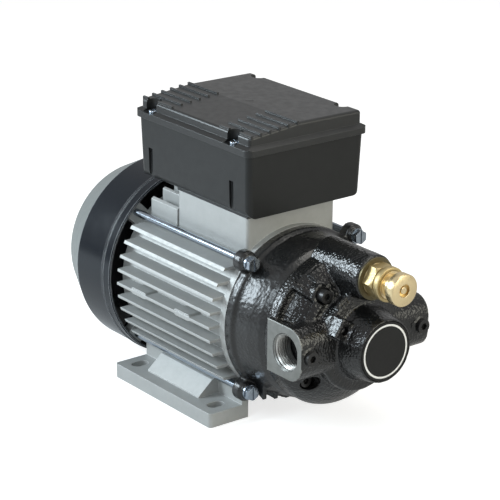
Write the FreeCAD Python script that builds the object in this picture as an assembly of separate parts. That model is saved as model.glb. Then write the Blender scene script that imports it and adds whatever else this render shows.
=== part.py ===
import FreeCAD, Part
import math
import os

# Electric oil transfer pump: foot motor, terminal box, gear pump head with relief valve.
# Frame: origin on the floor at the middle of the four foot slots, +X towards the pump head,
# +Z up. All sizes are in millimetres.

# Shaft line and feet
SHAFT_Z = 80.0
FOOT_PITCH_X = 100.0
FOOT_PITCH_Y = 125.0
FOOT_SLOT_WIDTH = 9.5
FOOT_SLOT_LENGTH = 14.5
FOOT_LENGTH = 126.0
FOOT_THICK = 11.5
FOOT_EDGE = 15.0
WEB_OUTER_Y = 47.0
WEB_THICK = 6.0
GUSSET_X0 = -34.0
GUSSET_X1 = 33.0
GUSSET_FOOT_Y = 66.0
GUSSET_TOP_Y = 53.0
GUSSET_TOP_Z = 23.5

# Motor frame
FRAME_X0 = -64.0
FRAME_X1 = 66.7
FRAME_BORE_R = 60.0
FRAME_WALL = 4.5
FRONT_RING_R = 67.0
FRONT_RING_LENGTH = 6.0
FIN_PITCH = 11.0
FIN_TIP_R = 76.8
FIN_UNDER_R = 71.0
FIN_THICK = 2.2
FIN_DRAFT = 0.5
FIN_X0 = -60.0
FIN_COUNT_HALF = 4
TOP_FIN_Y = (9.0, 20.0, 31.0, 42.0)
PAD_X = (-31.5, 25.0)
PAD_LENGTH = 20.0
PAD_HEIGHT = 5.2
PAD_SETBACK = 0.8
PEDESTAL_X0 = -26.6
PEDESTAL_X1 = 61.5
PEDESTAL_HALF_Y = 42.0
PEDESTAL_RISE = 2.6
PEDESTAL_WALL = 4.0
PEDESTAL_BOSS_R = 5.5
LEAD_HOLE_R = 9.0
LEAD_HOLE_X = 47.0
LEAD_WINDOW_X = (-19.0, -10.0)
LEAD_WINDOW_Y = (-26.0, 0.0)

# Tie rods, just inside the fan cover
TIE_ROD_SETBACK = 4.35
EAR_R = 8.5
EAR_NECK_HALF = 7.2
EAR_ROOT = 12.0
EAR_BOSS_LENGTH = 10.3
ROD_R = 3.0
ROD_HEAD_FLATS = 10.0
ROD_HEAD_HEIGHT = 4.0
WASHER_THICK = 1.6
WASHER_R = 6.0
ROD_CLEARANCE = 0.3
SCREW_CLEARANCE = 0.3

# Rear shield
SHIELD_THICK = 6.0
SHIELD_SPIGOT_LENGTH = 6.0
SHIELD_SPIGOT_WALL = 5.0
SHIELD_HUB_R = 22.0
SHIELD_ARM_WIDTH = 15.0
SHIELD_ARM_LENGTH = 7.0
SHIELD_ARM_ROOT_R = 50.0
SHIELD_HUB_WALL = 3.0

# Stator and rotor
CORE_HALF_LENGTH = 35.0
STATOR_BORE_R = 35.0
AIR_GAP = 0.4
STATOR_SLOTS = 18
SLOT_WIDTH = 6.0
SLOT_R0 = 38.0
SLOT_R1 = 50.0
COIL_OVERHANG = 20.0
COIL_R0 = 37.5
COIL_R1 = 55.0
COIL_ROUND = 4.0
ROTOR_BARS = 12
ROTOR_BAR_R = 2.2
CAGE_RING_LENGTH = 6.0
CAGE_RING_WALL = 11.0
CAGE_VANE_LENGTH = 7.0
CAGE_VANE_THICK = 2.0
CAGE_VANES = 6

# Shaft and bearings
SHAFT_CORE_R = 12.5
SHAFT_SHOULDER = 2.0
SHAFT_TAIL_R = 7.0
SHAFT_TAIL_X = -130.0
SHAFT_NOSE_R = 8.0
REAR_BEARING = (7.5, 17.5, 11.0)
REAR_BEARING_SETBACK = 2.0
FRONT_BEARING = (8.5, 20.0, 12.0)
FRONT_BEARING_X = 64.0
BALLS = 8
BALL_CLEARANCE = 0.08
RACE_WALL = 2.6
RACE_DEPTH = 1.0
WAVE_THICK = 1.2

# Fan and fan cover
FAN_X0 = -122.0
FAN_HUB_R = 13.0
FAN_HUB_LENGTH = 26.0
FAN_R = 60.0
FAN_DISC_THICK = 2.5
FAN_BLADES = 7
FAN_BLADE_THICK = 2.5
CLIP_THICK = 1.2
CLIP_WALL = 2.6
CLIP_GROOVE = 0.8
COVER_RING_X0 = -112.4
COVER_RING_X1 = -67.5
COVER_R = 79.2
COVER_WALL = 2.0
COVER_BEAD_X = -77.7
COVER_BEAD_WIDTH = 1.6
COVER_BEAD_HEIGHT = 0.6
COVER_LUG_WIDTH = 15.0
COVER_LUG_THICK = 3.0
COVER_LUG_EDGE = 4.5
COVER_SCREW_R = 1.9
COVER_SCREW_SETBACK = 7.85
COVER_SCREW_LENGTH = 8.0
COVER_SCREW_HEAD = 2.6
DOME_X0 = -150.0
DOME_REAR_R = 61.5
DOME_WALL = 2.0
DOME_ROUND = 7.0
DOME_LIP = 6.0
DOME_FIT = 0.15
GRILLE_R = (14.0, 22.0, 27.0, 35.0, 40.0, 48.0)
GRILLE_SPOKES = 10
GRILLE_SPOKE_WIDTH = 4.0

# Terminal box
BASE_GASKET_THICK = 2.0
BOX_FOOT_HEIGHT = 3.4
BOX_X0 = -60.2
BOX_X1 = 79.1
BOX_HALF_Y = 54.9
BOX_TAPER = 1.6
BOX_HEIGHT = 54.2
BOX_WALL = 3.0
BOX_EDGE_R = 7.5
BOX_CORNER_R = 5.0
BOX_SLOT_WIDTH = 5.4
BOX_SLOT_DEPTH = 1.4
BOX_SLOT_HEIGHT = 31.0
LID_GASKET_THICK = 1.0
LID_OVERHANG = 2.2
LID_RIM_HEIGHT = 4.8
LID_LEDGE = 4.1
LID_LEDGE_HEIGHT = 7.2
LID_CORNER_R = 6.0
LID_NEAR_HEIGHT = 13.7
LID_HIP_Y = -8.0
LID_HIP_HEIGHT = 18.0
LID_FAR_HEIGHT = 17.4
LID_EDGE_R = 2.5
LID_WALL = 3.0
LID_INNER_STEP = 6.0
LID_NOTCH_R = 6.5
LID_RIB_COUNT = 6
LID_RIB_INSET = 2.2
LID_RIB_PITCH = 8.5
LID_RIB_WIDTH = 1.8
LID_RIB_HEIGHT = 1.2
LID_RIB_LENGTH = 38.0
LID_SCREW_X = (-45.0, 57.2)
LID_SCREW_Y = 51.0
LID_SCREW_R = 2.0
LID_SCREW_HEAD_R = 4.0
LID_SCREW_HEAD_HEIGHT = 2.2
LID_SCREW_LENGTH = 14.0
SCREW_SLOT = 1.2
LID_POST_R = 4.5
LID_POST_LENGTH = 22.0
BASE_SCREW_INSET = 7.0
BASE_SCREW_R = 2.2
BASE_SCREW_HEAD_R = 4.0
BASE_SCREW_HEAD_HEIGHT = 3.0
BASE_SCREW_LENGTH = 16.0
BASE_SCREW_SEAT = 0.5
TERMINAL_X0 = -8.0
TERMINAL_LENGTH = 50.0
TERMINAL_WIDTH = 26.0
TERMINAL_HEIGHT = 12.0
TERMINAL_Y = -22.0
TERMINAL_POSTS = 3
TERMINAL_POST_R = 2.0
TERMINAL_POST_HEIGHT = 8.0
TERMINAL_POST_DEPTH = 6.0
BARRIER_THICK = 2.0
BARRIER_HEIGHT = 6.0
TERMINAL_NUT_FLATS = 7.0
TERMINAL_NUT_HEIGHT = 3.0
CAPACITOR_R = 17.5
CAPACITOR_X0 = -38.0
CAPACITOR_LENGTH = 82.0
CAPACITOR_Y = 21.5
CAPACITOR_CAP = 7.0
CLIP_STRAP_WIDTH = 12.0
CLIP_STRAP_THICK = 1.5
CLIP_STRAP_X = -4.0
GLAND_Y = -14.0
GLAND_HEIGHT = 30.6
GLAND_THREAD_R = 10.0
GLAND_FLATS = 24.0
GLAND_SEAT_R = 15.0
GLAND_BODY_LENGTH = 12.0
GLAND_HEX_LENGTH = 7.0
GLAND_COLLAR_R = 9.5
GLAND_THREAD_END = 1.0
GLAND_CAP_LENGTH = 13.0
GLAND_CAP_R = 11.0
GLAND_CABLE_R = 5.0
GLAND_SEAL_WALL = 2.6
GLAND_LOCKNUT_THICK = 5.0
EARTH_SCREW_HEAD_R = 4.5
EARTH_SCREW_HEAD = 3.0
EARTH_SCREW_X = 55.0
EARTH_SCREW_Y = -10.0

# Bell housing between motor and pump
BELL_RIM_LENGTH = 8.0
BELL_SPIGOT_LENGTH = 6.0
BELL_SPIGOT_WALL = 5.0
BELL_BODY_R = 64.4
BELL_FRONT_X = 104.0
BELL_FRONT_R = 58.0
BELL_WALL = 7.0
BELL_FRONT_WALL = 14.0
BELL_HUB_R = 26.0
BELL_HUB_X = 62.0
BELL_SHOULDER_R = 13.5
BELL_RIB_Y = (20.5, 31.5, 42.5)
BELL_RIB_X = 85.5
BELL_RIB_TIP_Z = 18.5
BELL_RIB_RISE = 0.17
BELL_RIB_THICK = 3.6
SEAL_R = 15.0
SEAL_THICK = 7.0
SEAL_LIP_R = 8.05
PLATE_R = 46.0
PLATE_THICK = 6.0
PLATE_SHAFT_CLEARANCE = 0.06
DOWEL_R = 2.5
DOWEL_LENGTH = 16.0
DOWEL_DEPTH = 4.0
DOWEL_RADIUS = 41.5

# Gear set: inner rotor on the shaft, outer rotor one tooth more
GEAR_THICK = 16.0
GEAR_SIDE_GAP = 0.05
OUTER_LOBES = 7
LOBE_CENTRE_R = 22.0
LOBE_R = 6.5
ECCENTRICITY = 2.2
TOOTH_GAP = 0.2
TOOTH_POINTS = 30
ROOT_GAP = 0.4
OUTER_ROTOR_R = 32.0
CHAMBER_GAP = 0.08
KEY_WIDTH = 4.0
KEY_DEPTH = 2.0

# Pump body
BODY_R = 59.5
BODY_DRUM_X = 115.5
BODY_TAPER_X = 136.5
BODY_NECK_R = 41.0
FLANGE_R = 39.0
FLANGE_X1 = 147.5
BOSS_ROOT_R = 28.3
BOSS_R = 24.4
BOSS_X1 = 172.0
BUSH_R = 10.5
BUSH_LENGTH = 22.0
BUSH_CLEARANCE = 0.04
KIDNEY_R0 = 12.8
KIDNEY_R1 = 20.0
KIDNEY_HALF_ANGLE = 52.0
BODY_SCREW_CIRCLE = 46.6
BODY_SCREW_ANGLES = (126.0, 54.0, 220.0, 320.0)
BODY_SCREW_SEATS = (131.5, 131.5, 119.5, 119.5)
BODY_SCREW_R = 3.0
BODY_SCREW_HEAD_R = 5.0
BODY_SCREW_HEAD = 6.0
BODY_SCREW_GRIP = 12.0
BODY_SCREW_RECESS_GAP = 1.2
SCREW_BOSS_R = 8.2
O_RING_SECTION = 2.4
O_RING_R = 52.0

# Ports
PORT_X = 132.0
PORT_Z = 81.0
PORT_FACE_Y = 61.3
PORT_MINOR_R = 12.06
PORT_THREAD_LENGTH = 16.0
PORT_DEPTH_Y = 13.0
PORT_CORE_R = 10.5
PORT_BLOCK_HALF_Z = 20.5
PORT_BLOCK_X0 = 110.6
PORT_BLOCK_X1 = 150.5
PORT_CORNER_R = 14.0
PORT_CHAMFER = 1.2
PLUG_BOSS_R = 6.6
PLUG_BOSS_RISE = 0.8
PLUG_R = 4.6
PLUG_Y = 53.5
PLUG_DEPTH = 6.5
PLUG_HEAD_R = 5.4
PLUG_HEAD = 3.0
PLUG_SOCKET_FLATS = 5.0

# Details cast on the body
CAST_PAD_RISE = 2.6
PAD_ANGLES = (104.0, 122.0)
PAD_PLACE_X = (120.0, 133.0)
POCKET_ANGLES = (136.0, 160.0)
POCKET_FRAME_X = (112.0, 136.0)
POCKET_RIM = 4.5
POCKET_RIM_ANGLE = 5.0
POCKET_DEPTH = 1.5
LUG_ANGLE = 147.0
LUG_R0 = 24.0
LUG_R1 = 38.0
LUG_WIDTH = 15.0
LUG_X1 = 157.0
LUG_SOCKET_R = 3.2
PRY_ANGLE = 118.0
PRY_LENGTH = 15.0
PRY_WIDTH = 4.0
PRY_HEIGHT = 2.2

# Relief valve
VALVE_Z = 132.5
VALVE_R = 17.5
VALVE_X1 = 157.7
VALVE_EDGE_R = 1.5
VALVE_BORE_R = 10.0
VALVE_SEAT_X = 124.0
VALVE_SEAT_R = 6.0
VALVE_SEAT_DEPTH = 10.0
PASSAGE_R = 4.0
VALVE_SPIGOT_R = 12.0
VALVE_SPIGOT_LENGTH = 12.7
VALVE_WASHER_R = 16.2
VALVE_WASHER_THICK = 1.5
VALVE_WASHER_GAP = 0.2
VALVE_HEX_FLATS = 27.0
VALVE_HEX_LENGTH = 9.0
VALVE_GROOVE_R = 11.9
VALVE_GROOVE_LENGTH = 2.0
VALVE_COLLAR_R = 13.2
VALVE_COLLAR_LENGTH = 5.0
SPRING_BORE_R = 8.4
NUT_PARTITION = 5.0
KNOB_NECK_R = 10.6
KNOB_NECK_CLEARANCE = 0.1
KNOB_TRAVEL_IN = 6.0
KNOB_R = 12.2
KNOB_LENGTH = 8.0
KNOB_GAP = 7.0
KNOB_SOCKET_FLATS = 8.0
KNOB_SOCKET_DEPTH = 5.0
STEM_R = 5.0
STEM_CLEARANCE = 0.08
POPPET_R = 9.7
POPPET_CONE = 4.0
POPPET_FLOOR = 3.0
POPPET_SKIRT = 7.0
POPPET_SEAT_GAP = 0.3
SPRING_MEAN_R = 6.0
SPRING_WIRE_R = 0.75
SPRING_END_GAP = 0.3
SPRING_TURNS = 5
SEAT_DISC_R = 8.0
SEAT_DISC_THICK = 3.0

# Front disc
DISC_RECESS = 1.2
DISC_GAP = 0.3
DISC_R = 22.6
DISC_THICK = 1.0
DISC_RING_R0 = 19.3
DISC_RING_R1 = 20.8
DISC_RING_HEIGHT = 0.3

# Derived places
FOOT_OUTER_Y = FOOT_PITCH_Y / 2 + FOOT_EDGE
FRAME_R = FRAME_BORE_R + FRAME_WALL
ROTOR_R = STATOR_BORE_R - AIR_GAP
SHIELD_X0 = FRAME_X0 - SHIELD_THICK
SHIELD_ARM_X0 = SHIELD_X0 - SHIELD_ARM_LENGTH
COVER_INNER_R = COVER_R - COVER_WALL
EAR_CENTRE_R = COVER_INNER_R - TIE_ROD_SETBACK
EAR_OFFSET = EAR_CENTRE_R / math.sqrt(2)
COVER_SCREW_RADIUS = EAR_CENTRE_R - COVER_SCREW_SETBACK
COVER_LUG_R = COVER_SCREW_RADIUS - COVER_LUG_EDGE
REAR_BEARING_X1 = FRAME_X0 - REAR_BEARING_SETBACK
REAR_BEARING_X0 = REAR_BEARING_X1 - REAR_BEARING[2]
CAGE_END_X = CORE_HALF_LENGTH + CAGE_RING_LENGTH
PEDESTAL_TOP_Z = SHAFT_Z + FIN_TIP_R + PEDESTAL_RISE
BASE_GASKET_Z1 = PEDESTAL_TOP_Z + BASE_GASKET_THICK
BOX_Z0 = BASE_GASKET_Z1 + BOX_FOOT_HEIGHT
BOX_FLOOR_Z = BOX_Z0 + BOX_WALL
BOX_TOP_Z = PEDESTAL_TOP_Z + BOX_HEIGHT
BOX_SLOT_TOP_Z = PEDESTAL_TOP_Z + BOX_SLOT_HEIGHT
GLAND_Z = PEDESTAL_TOP_Z + GLAND_HEIGHT
LID_GASKET_Z1 = BOX_TOP_Z + LID_GASKET_THICK
LID_RIM_Z = BOX_TOP_Z + LID_RIM_HEIGHT
LID_LEDGE_Z = BOX_TOP_Z + LID_LEDGE_HEIGHT
LID_NEAR_Z = BOX_TOP_Z + LID_NEAR_HEIGHT
LID_HIP_Z = BOX_TOP_Z + LID_HIP_HEIGHT
LID_FAR_Z = BOX_TOP_Z + LID_FAR_HEIGHT
RIM_X0 = BOX_X0 - LID_OVERHANG
RIM_X1 = BOX_X1 + LID_OVERHANG
RIM_HALF_Y = BOX_HALF_Y + LID_OVERHANG
LID_X0 = RIM_X0 + LID_LEDGE
LID_X1 = RIM_X1 - LID_LEDGE
LID_HALF_Y = RIM_HALF_Y - LID_LEDGE
BEARING_SHOULDER_X = FRONT_BEARING_X + FRONT_BEARING[2]
BELL_RIM_X = FRAME_X1 + BELL_RIM_LENGTH
PLATE_X0 = BELL_FRONT_X - PLATE_THICK
PLUG_BOSS_X1 = PORT_BLOCK_X1 + PLUG_BOSS_RISE
SEAL_X0 = PLATE_X0 - SEAL_THICK
INNER_LOBES = OUTER_LOBES - 1
CHAMBER_Z = SHAFT_Z + ECCENTRICITY
CHAMBER_X1 = BELL_FRONT_X + GEAR_THICK
BUSH_X1 = CHAMBER_X1 + BUSH_LENGTH
SHAFT_NOSE_X = BUSH_X1 - 1.0
NUT_X0 = VALVE_X1 + VALVE_WASHER_THICK
NUT_HEX_X1 = NUT_X0 + VALVE_HEX_LENGTH
NUT_COLLAR_X0 = NUT_HEX_X1 + VALVE_GROOVE_LENGTH
NUT_X1 = NUT_COLLAR_X0 + VALVE_COLLAR_LENGTH
NUT_SPIGOT_X0 = VALVE_X1 - VALVE_SPIGOT_LENGTH
KNOB_X0 = NUT_X1 + KNOB_GAP
KNOB_X1 = KNOB_X0 + KNOB_LENGTH
NECK_BORE_X0 = NUT_X0 + NUT_PARTITION
NECK_X0 = NECK_BORE_X0 + KNOB_TRAVEL_IN
SPRING_SEAT_X1 = NUT_X0 - KNOB_TRAVEL_IN + 1.0
SPRING_SEAT_X0 = SPRING_SEAT_X1 - SEAT_DISC_THICK


def vec(x, y, z):
    return FreeCAD.Vector(x, y, z)


X_AXIS = vec(1, 0, 0)
Y_AXIS = vec(0, 1, 0)
Z_AXIS = vec(0, 0, 1)


def box(x0, x1, y0, y1, z0, z1):
    return Part.makeBox(x1 - x0, y1 - y0, z1 - z0, vec(x0, y0, z0))


def rod_x(x0, x1, r, y=0.0, z=SHAFT_Z):
    return Part.makeCylinder(r, x1 - x0, vec(x0, y, z), X_AXIS)


def rod_y(y0, y1, r, x, z):
    return Part.makeCylinder(r, y1 - y0, vec(x, y0, z), Y_AXIS)


def rod_z(z0, z1, r, x, y):
    return Part.makeCylinder(r, z1 - z0, vec(x, y, z0), Z_AXIS)


def ring_x(x0, x1, outer, inner, y=0.0, z=SHAFT_Z):
    return rod_x(x0, x1, outer, y, z).cut(rod_x(x0, x1, inner, y, z))


def cone_x(x0, x1, r0, r1, y=0.0, z=SHAFT_Z):
    return Part.makeCone(r0, r1, x1 - x0, vec(x0, y, z), X_AXIS)


def prism(points, along):
    wire = Part.makePolygon(points + points[:1])
    return Part.Face(wire).extrude(along)


def prism_x(outline, x0, x1):
    return prism([vec(x0, y, z) for y, z in outline], vec(x1 - x0, 0, 0))


def prism_y(outline, y0, y1):
    return prism([vec(x, y0, z) for x, z in outline], vec(0, y1 - y0, 0))


def hexagon_x(x0, x1, flats, y=0.0, z=SHAFT_Z):
    corner = flats / math.sqrt(3)
    angles = [math.radians(60 * k) for k in range(6)]
    outline = [(y + corner * math.cos(a), z + corner * math.sin(a)) for a in angles]
    return prism_x(outline, x0, x1)


def turned_x(profile, y=0.0, z=SHAFT_Z):
    """Solid of revolution about a line along X, from (x, radius) points."""
    points = [vec(x, 0, r) for x, r in profile]
    solid = Part.Face(Part.makePolygon(points + points[:1])).revolve(vec(0, 0, 0), X_AXIS, 360)
    solid.translate(vec(0, y, z))
    return solid


def around_shaft(shape, angle):
    """Copy turned about the shaft line, by degrees from +Y towards +Z."""
    turned = shape.copy()
    turned.rotate(vec(0, 0, SHAFT_Z), X_AXIS, angle)
    return turned


def on_circle(radius, angle, centre_z=SHAFT_Z):
    a = math.radians(angle)
    return radius * math.cos(a), centre_z + radius * math.sin(a)


def mirrored(shape):
    return shape.mirror(vec(0, 0, 0), Y_AXIS)


def fused(shapes):
    return shapes[0].multiFuse(shapes[1:]).removeSplitter()


def rounded(shape, radius, chosen):
    """Round the edges for which chosen(edge) holds."""
    return shape.makeFillet(radius, [e for e in shape.Edges if chosen(e)])


def circle_at(x):
    """Choice of the closed edges that lie in the plane at x."""
    return lambda edge: edge.Closed and abs(edge.BoundBox.Center.x - x) < 0.01


def runs_along(edge, axis):
    if len(edge.Vertexes) != 2 or edge.Curve.TypeId != "Part::GeomLine":
        return False
    a, b = (v.Point for v in edge.Vertexes)
    return (b - a).cross(axis).Length < 1e-6


def ears():
    return [(sy * EAR_OFFSET, SHAFT_Z + sz * EAR_OFFSET) for sy in (-1, 1) for sz in (-1, 1)]


def slot_cutter(x, y):
    half = (FOOT_SLOT_LENGTH - FOOT_SLOT_WIDTH) / 2
    r = FOOT_SLOT_WIDTH / 2
    return fused([
        rod_z(-1, FOOT_THICK + 1, r, x, y - half),
        rod_z(-1, FOOT_THICK + 1, r, x, y + half),
        box(x - r, x + r, y - half, y + half, -1, FOOT_THICK + 1),
    ])


def foot():
    """One foot rail with its web, gusset and two slots, on the +Y side."""
    web_in = WEB_OUTER_Y - WEB_THICK
    half = FOOT_LENGTH / 2
    web_top = SHAFT_Z - FRAME_BORE_R + FOOT_EDGE + WEB_THICK
    rail = prism_x([(web_in, 0), (FOOT_OUTER_Y, 0), (FOOT_OUTER_Y, FOOT_THICK),
                    (WEB_OUTER_Y, FOOT_THICK), (WEB_OUTER_Y, web_top), (web_in, web_top)], -half, half)
    rail = rounded(rail, 3.0, lambda e: runs_along(e, Z_AXIS) and e.BoundBox.YMax > FOOT_OUTER_Y - 1)
    gusset = prism_x([(WEB_OUTER_Y - 1, FOOT_THICK - 1), (GUSSET_FOOT_Y, FOOT_THICK - 1),
                      (GUSSET_FOOT_Y, FOOT_THICK + 1), (GUSSET_TOP_Y, GUSSET_TOP_Z),
                      (WEB_OUTER_Y - 1, GUSSET_TOP_Z + 2)], GUSSET_X0, GUSSET_X1)
    solid = fused([rail, gusset])
    for sx in (-1, 1):
        solid = solid.cut(slot_cutter(sx * FOOT_PITCH_X / 2, FOOT_PITCH_Y / 2))
    return solid


def side_fins():
    """Horizontal fins on both sides, their tips on one circle."""
    fins = []
    for k in range(-FIN_COUNT_HALF, FIN_COUNT_HALF + 1):
        z = SHAFT_Z + k * FIN_PITCH
        tip = FIN_THICK / 2
        root = tip + FIN_DRAFT
        fins.append(prism_x([(-COVER_R, z - tip), (0, z - root), (COVER_R, z - tip),
                             (COVER_R, z + tip), (0, z + root), (-COVER_R, z + tip)],
                            FIN_X0, FRAME_X1 - FRONT_RING_LENGTH))
    envelope = rod_x(FIN_X0, FRAME_X1, FIN_TIP_R)
    return [fin.common(envelope) for fin in fins]


def upright_fins():
    """Upright fins behind the pedestal on top, and along the underside."""
    above = rod_x(FIN_X0, FRAME_X1, FIN_TIP_R)
    below = rod_x(FIN_X0, FRAME_X1, FIN_UNDER_R)
    half = FIN_THICK / 2
    fins = []
    for y in TOP_FIN_Y:
        for side in (-y, y):
            top = box(FIN_X0, PEDESTAL_X0 + 1, side - half, side + half, SHAFT_Z, SHAFT_Z + FIN_TIP_R)
            fins.append(top.common(above))
            if y < WEB_OUTER_Y - WEB_THICK:
                under = box(FIN_X0, FRAME_X1 - FRONT_RING_LENGTH, side - half, side + half, 0, SHAFT_Z)
                fins.append(under.common(below))
    return fins


def fin_pads():
    """Oval ejector pads on the middle fin of each side."""
    pads = []
    r = PAD_HEIGHT / 2
    half = PAD_LENGTH / 2 - r
    near = FRAME_BORE_R + FRAME_WALL / 2
    far = FIN_TIP_R - PAD_SETBACK
    for y0, y1 in ((-far, -near), (near, far)):
        for x in PAD_X:
            pads.append(rod_y(y0, y1, r, x - half, SHAFT_Z))
            pads.append(rod_y(y0, y1, r, x + half, SHAFT_Z))
            pads.append(box(x - half, x + half, y0, y1, SHAFT_Z - r, SHAFT_Z + r))
    return pads


def pedestal():
    """Hollow seat for the terminal box, with four screw bosses."""
    shell = box(PEDESTAL_X0, PEDESTAL_X1, -PEDESTAL_HALF_Y, PEDESTAL_HALF_Y, SHAFT_Z, PEDESTAL_TOP_Z)
    shell = rounded(shell, 3.0, lambda e: runs_along(e, Z_AXIS))
    w = PEDESTAL_WALL
    pocket = box(PEDESTAL_X0 + w, PEDESTAL_X1 - w, w - PEDESTAL_HALF_Y, PEDESTAL_HALF_Y - w,
                 SHAFT_Z, PEDESTAL_TOP_Z)
    pocket = pocket.cut(rod_x(PEDESTAL_X0, PEDESTAL_X1, FRAME_R))
    bosses = [rod_z(SHAFT_Z, PEDESTAL_TOP_Z, PEDESTAL_BOSS_R, x, y) for x, y in base_screw_places()]
    return [shell.cut(pocket)] + bosses


def base_screw_places():
    xs = (PEDESTAL_X0 + BASE_SCREW_INSET, PEDESTAL_X1 - BASE_SCREW_INSET)
    y = PEDESTAL_HALF_Y - BASE_SCREW_INSET
    return [(x, sy * y) for x in xs for sy in (-1, 1)]


def motor_frame():
    """Die-cast motor frame: finned barrel, feet, pedestal and front ring."""
    barrel = rod_x(FRAME_X0, FRAME_X1, FRAME_R)
    ring = rod_x(FRAME_X1 - FRONT_RING_LENGTH, FRAME_X1, FRONT_RING_R)
    pieces = [barrel, ring, foot(), mirrored(foot())]
    solid = fused(pieces + side_fins() + upright_fins() + fin_pads() + pedestal())
    solid = solid.cut(rod_x(FRAME_X0, FRAME_X1, FRAME_BORE_R))
    solid = solid.cut(rod_z(SHAFT_Z, PEDESTAL_TOP_Z, LEAD_HOLE_R, LEAD_HOLE_X, 0))
    for x, y in base_screw_places():
        solid = solid.cut(rod_z(BOX_Z0 - BASE_SCREW_LENGTH, PEDESTAL_TOP_Z, BASE_SCREW_R, x, y))
    for y, z in ears():
        solid = solid.cut(rod_x(FRAME_X0, FRAME_X1, ROD_R + ROD_CLEARANCE, y, z))
    return solid


def rear_shield():
    """Rear end shield with bearing pocket, spigot and four tie-rod arms."""
    pocket_x = REAR_BEARING_X0 - WAVE_THICK
    spigot_x = FRAME_X0 + SHIELD_SPIGOT_LENGTH
    body = turned_x([
        (pocket_x - SHIELD_HUB_WALL, SHAFT_TAIL_R + 1.5), (pocket_x - SHIELD_HUB_WALL, SHIELD_HUB_R),
        (SHIELD_X0, SHIELD_HUB_R), (SHIELD_X0, FRAME_R), (FRAME_X0, FRAME_R), (FRAME_X0, FRAME_BORE_R),
        (spigot_x, FRAME_BORE_R), (spigot_x, FRAME_BORE_R - SHIELD_SPIGOT_WALL),
        (FRAME_X0, FRAME_BORE_R - SHIELD_SPIGOT_WALL), (FRAME_X0, SHIELD_HUB_R),
        (FRAME_X0 + 2, SHIELD_HUB_R), (FRAME_X0 + 2, REAR_BEARING[1]), (pocket_x, REAR_BEARING[1]),
        (pocket_x, SHAFT_TAIL_R + 1.5)])
    arm = box(SHIELD_ARM_X0, SHIELD_X0 + 1, SHIELD_ARM_ROOT_R, COVER_INNER_R + 1,
              SHAFT_Z - SHIELD_ARM_WIDTH / 2, SHAFT_Z + SHIELD_ARM_WIDTH / 2)
    arm = arm.common(rod_x(SHIELD_ARM_X0, SHIELD_X0 + 1, COVER_INNER_R - DOME_FIT))
    solid = fused([body] + [around_shaft(arm, 45 + 90 * k) for k in range(4)])
    for y, z in ears():
        solid = solid.cut(rod_x(SHIELD_ARM_X0, FRAME_X0, ROD_R, y, z))
    for k in range(4):
        y, z = on_circle(COVER_SCREW_RADIUS, 45 + 90 * k)
        solid = solid.cut(rod_x(SHIELD_ARM_X0, SHIELD_X0, COVER_SCREW_R, y, z))
    return solid


def stator_slots(x0, x1):
    bar = box(x0, x1, SLOT_R0, SLOT_R1, SHAFT_Z - SLOT_WIDTH / 2, SHAFT_Z + SLOT_WIDTH / 2)
    return [around_shaft(bar, 360 / STATOR_SLOTS * k) for k in range(STATOR_SLOTS)]


def stator_core():
    """Laminated stack with open winding slots."""
    stack = ring_x(-CORE_HALF_LENGTH, CORE_HALF_LENGTH, FRAME_BORE_R, STATOR_BORE_R)
    return stack.cut(Part.makeCompound(stator_slots(-CORE_HALF_LENGTH, CORE_HALF_LENGTH)))


def stator_windings():
    """Slot conductors joined by rounded end turns at both ends of the stack."""
    pieces = stator_slots(-CORE_HALF_LENGTH - 1, CORE_HALF_LENGTH + 1)
    for side in (-1, 1):
        x0, x1 = sorted((side * CORE_HALF_LENGTH, side * (CORE_HALF_LENGTH + COIL_OVERHANG)))
        coil = ring_x(x0, x1, COIL_R1, COIL_R0)
        outer_end = x0 if side < 0 else x1
        pieces.append(rounded(coil, COIL_ROUND, circle_at(outer_end)))
    return fused(pieces)


def rotor_core():
    """Laminated rotor stack with closed bar holes."""
    stack = ring_x(-CORE_HALF_LENGTH, CORE_HALF_LENGTH, ROTOR_R, SHAFT_CORE_R)
    return stack.cut(Part.makeCompound(rotor_bars()))


def rotor_bars():
    bars = []
    for k in range(ROTOR_BARS):
        y, z = on_circle(ROTOR_R - 2 * ROTOR_BAR_R, 360 / ROTOR_BARS * k)
        bars.append(rod_x(-CORE_HALF_LENGTH, CORE_HALF_LENGTH, ROTOR_BAR_R, y, z))
    return bars


def rotor_cage():
    """Cast cage: bars through the stack, end rings and cooling vanes."""
    pieces = rotor_bars()
    r1 = ROTOR_R - 1
    r0 = r1 - CAGE_RING_WALL
    half = CAGE_VANE_THICK / 2
    for side in (-1, 1):
        x0, x1 = sorted((side * CORE_HALF_LENGTH, side * CAGE_END_X))
        pieces.append(ring_x(x0, x1, r1, r0))
        x0, x1 = sorted((side * CORE_HALF_LENGTH, side * (CAGE_END_X + CAGE_VANE_LENGTH)))
        vane = box(x0, x1, r0 + 1, r1 - 3, SHAFT_Z - half, SHAFT_Z + half)
        pieces += [around_shaft(vane, 360 / CAGE_VANES * k) for k in range(CAGE_VANES)]
    return fused(pieces)


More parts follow.
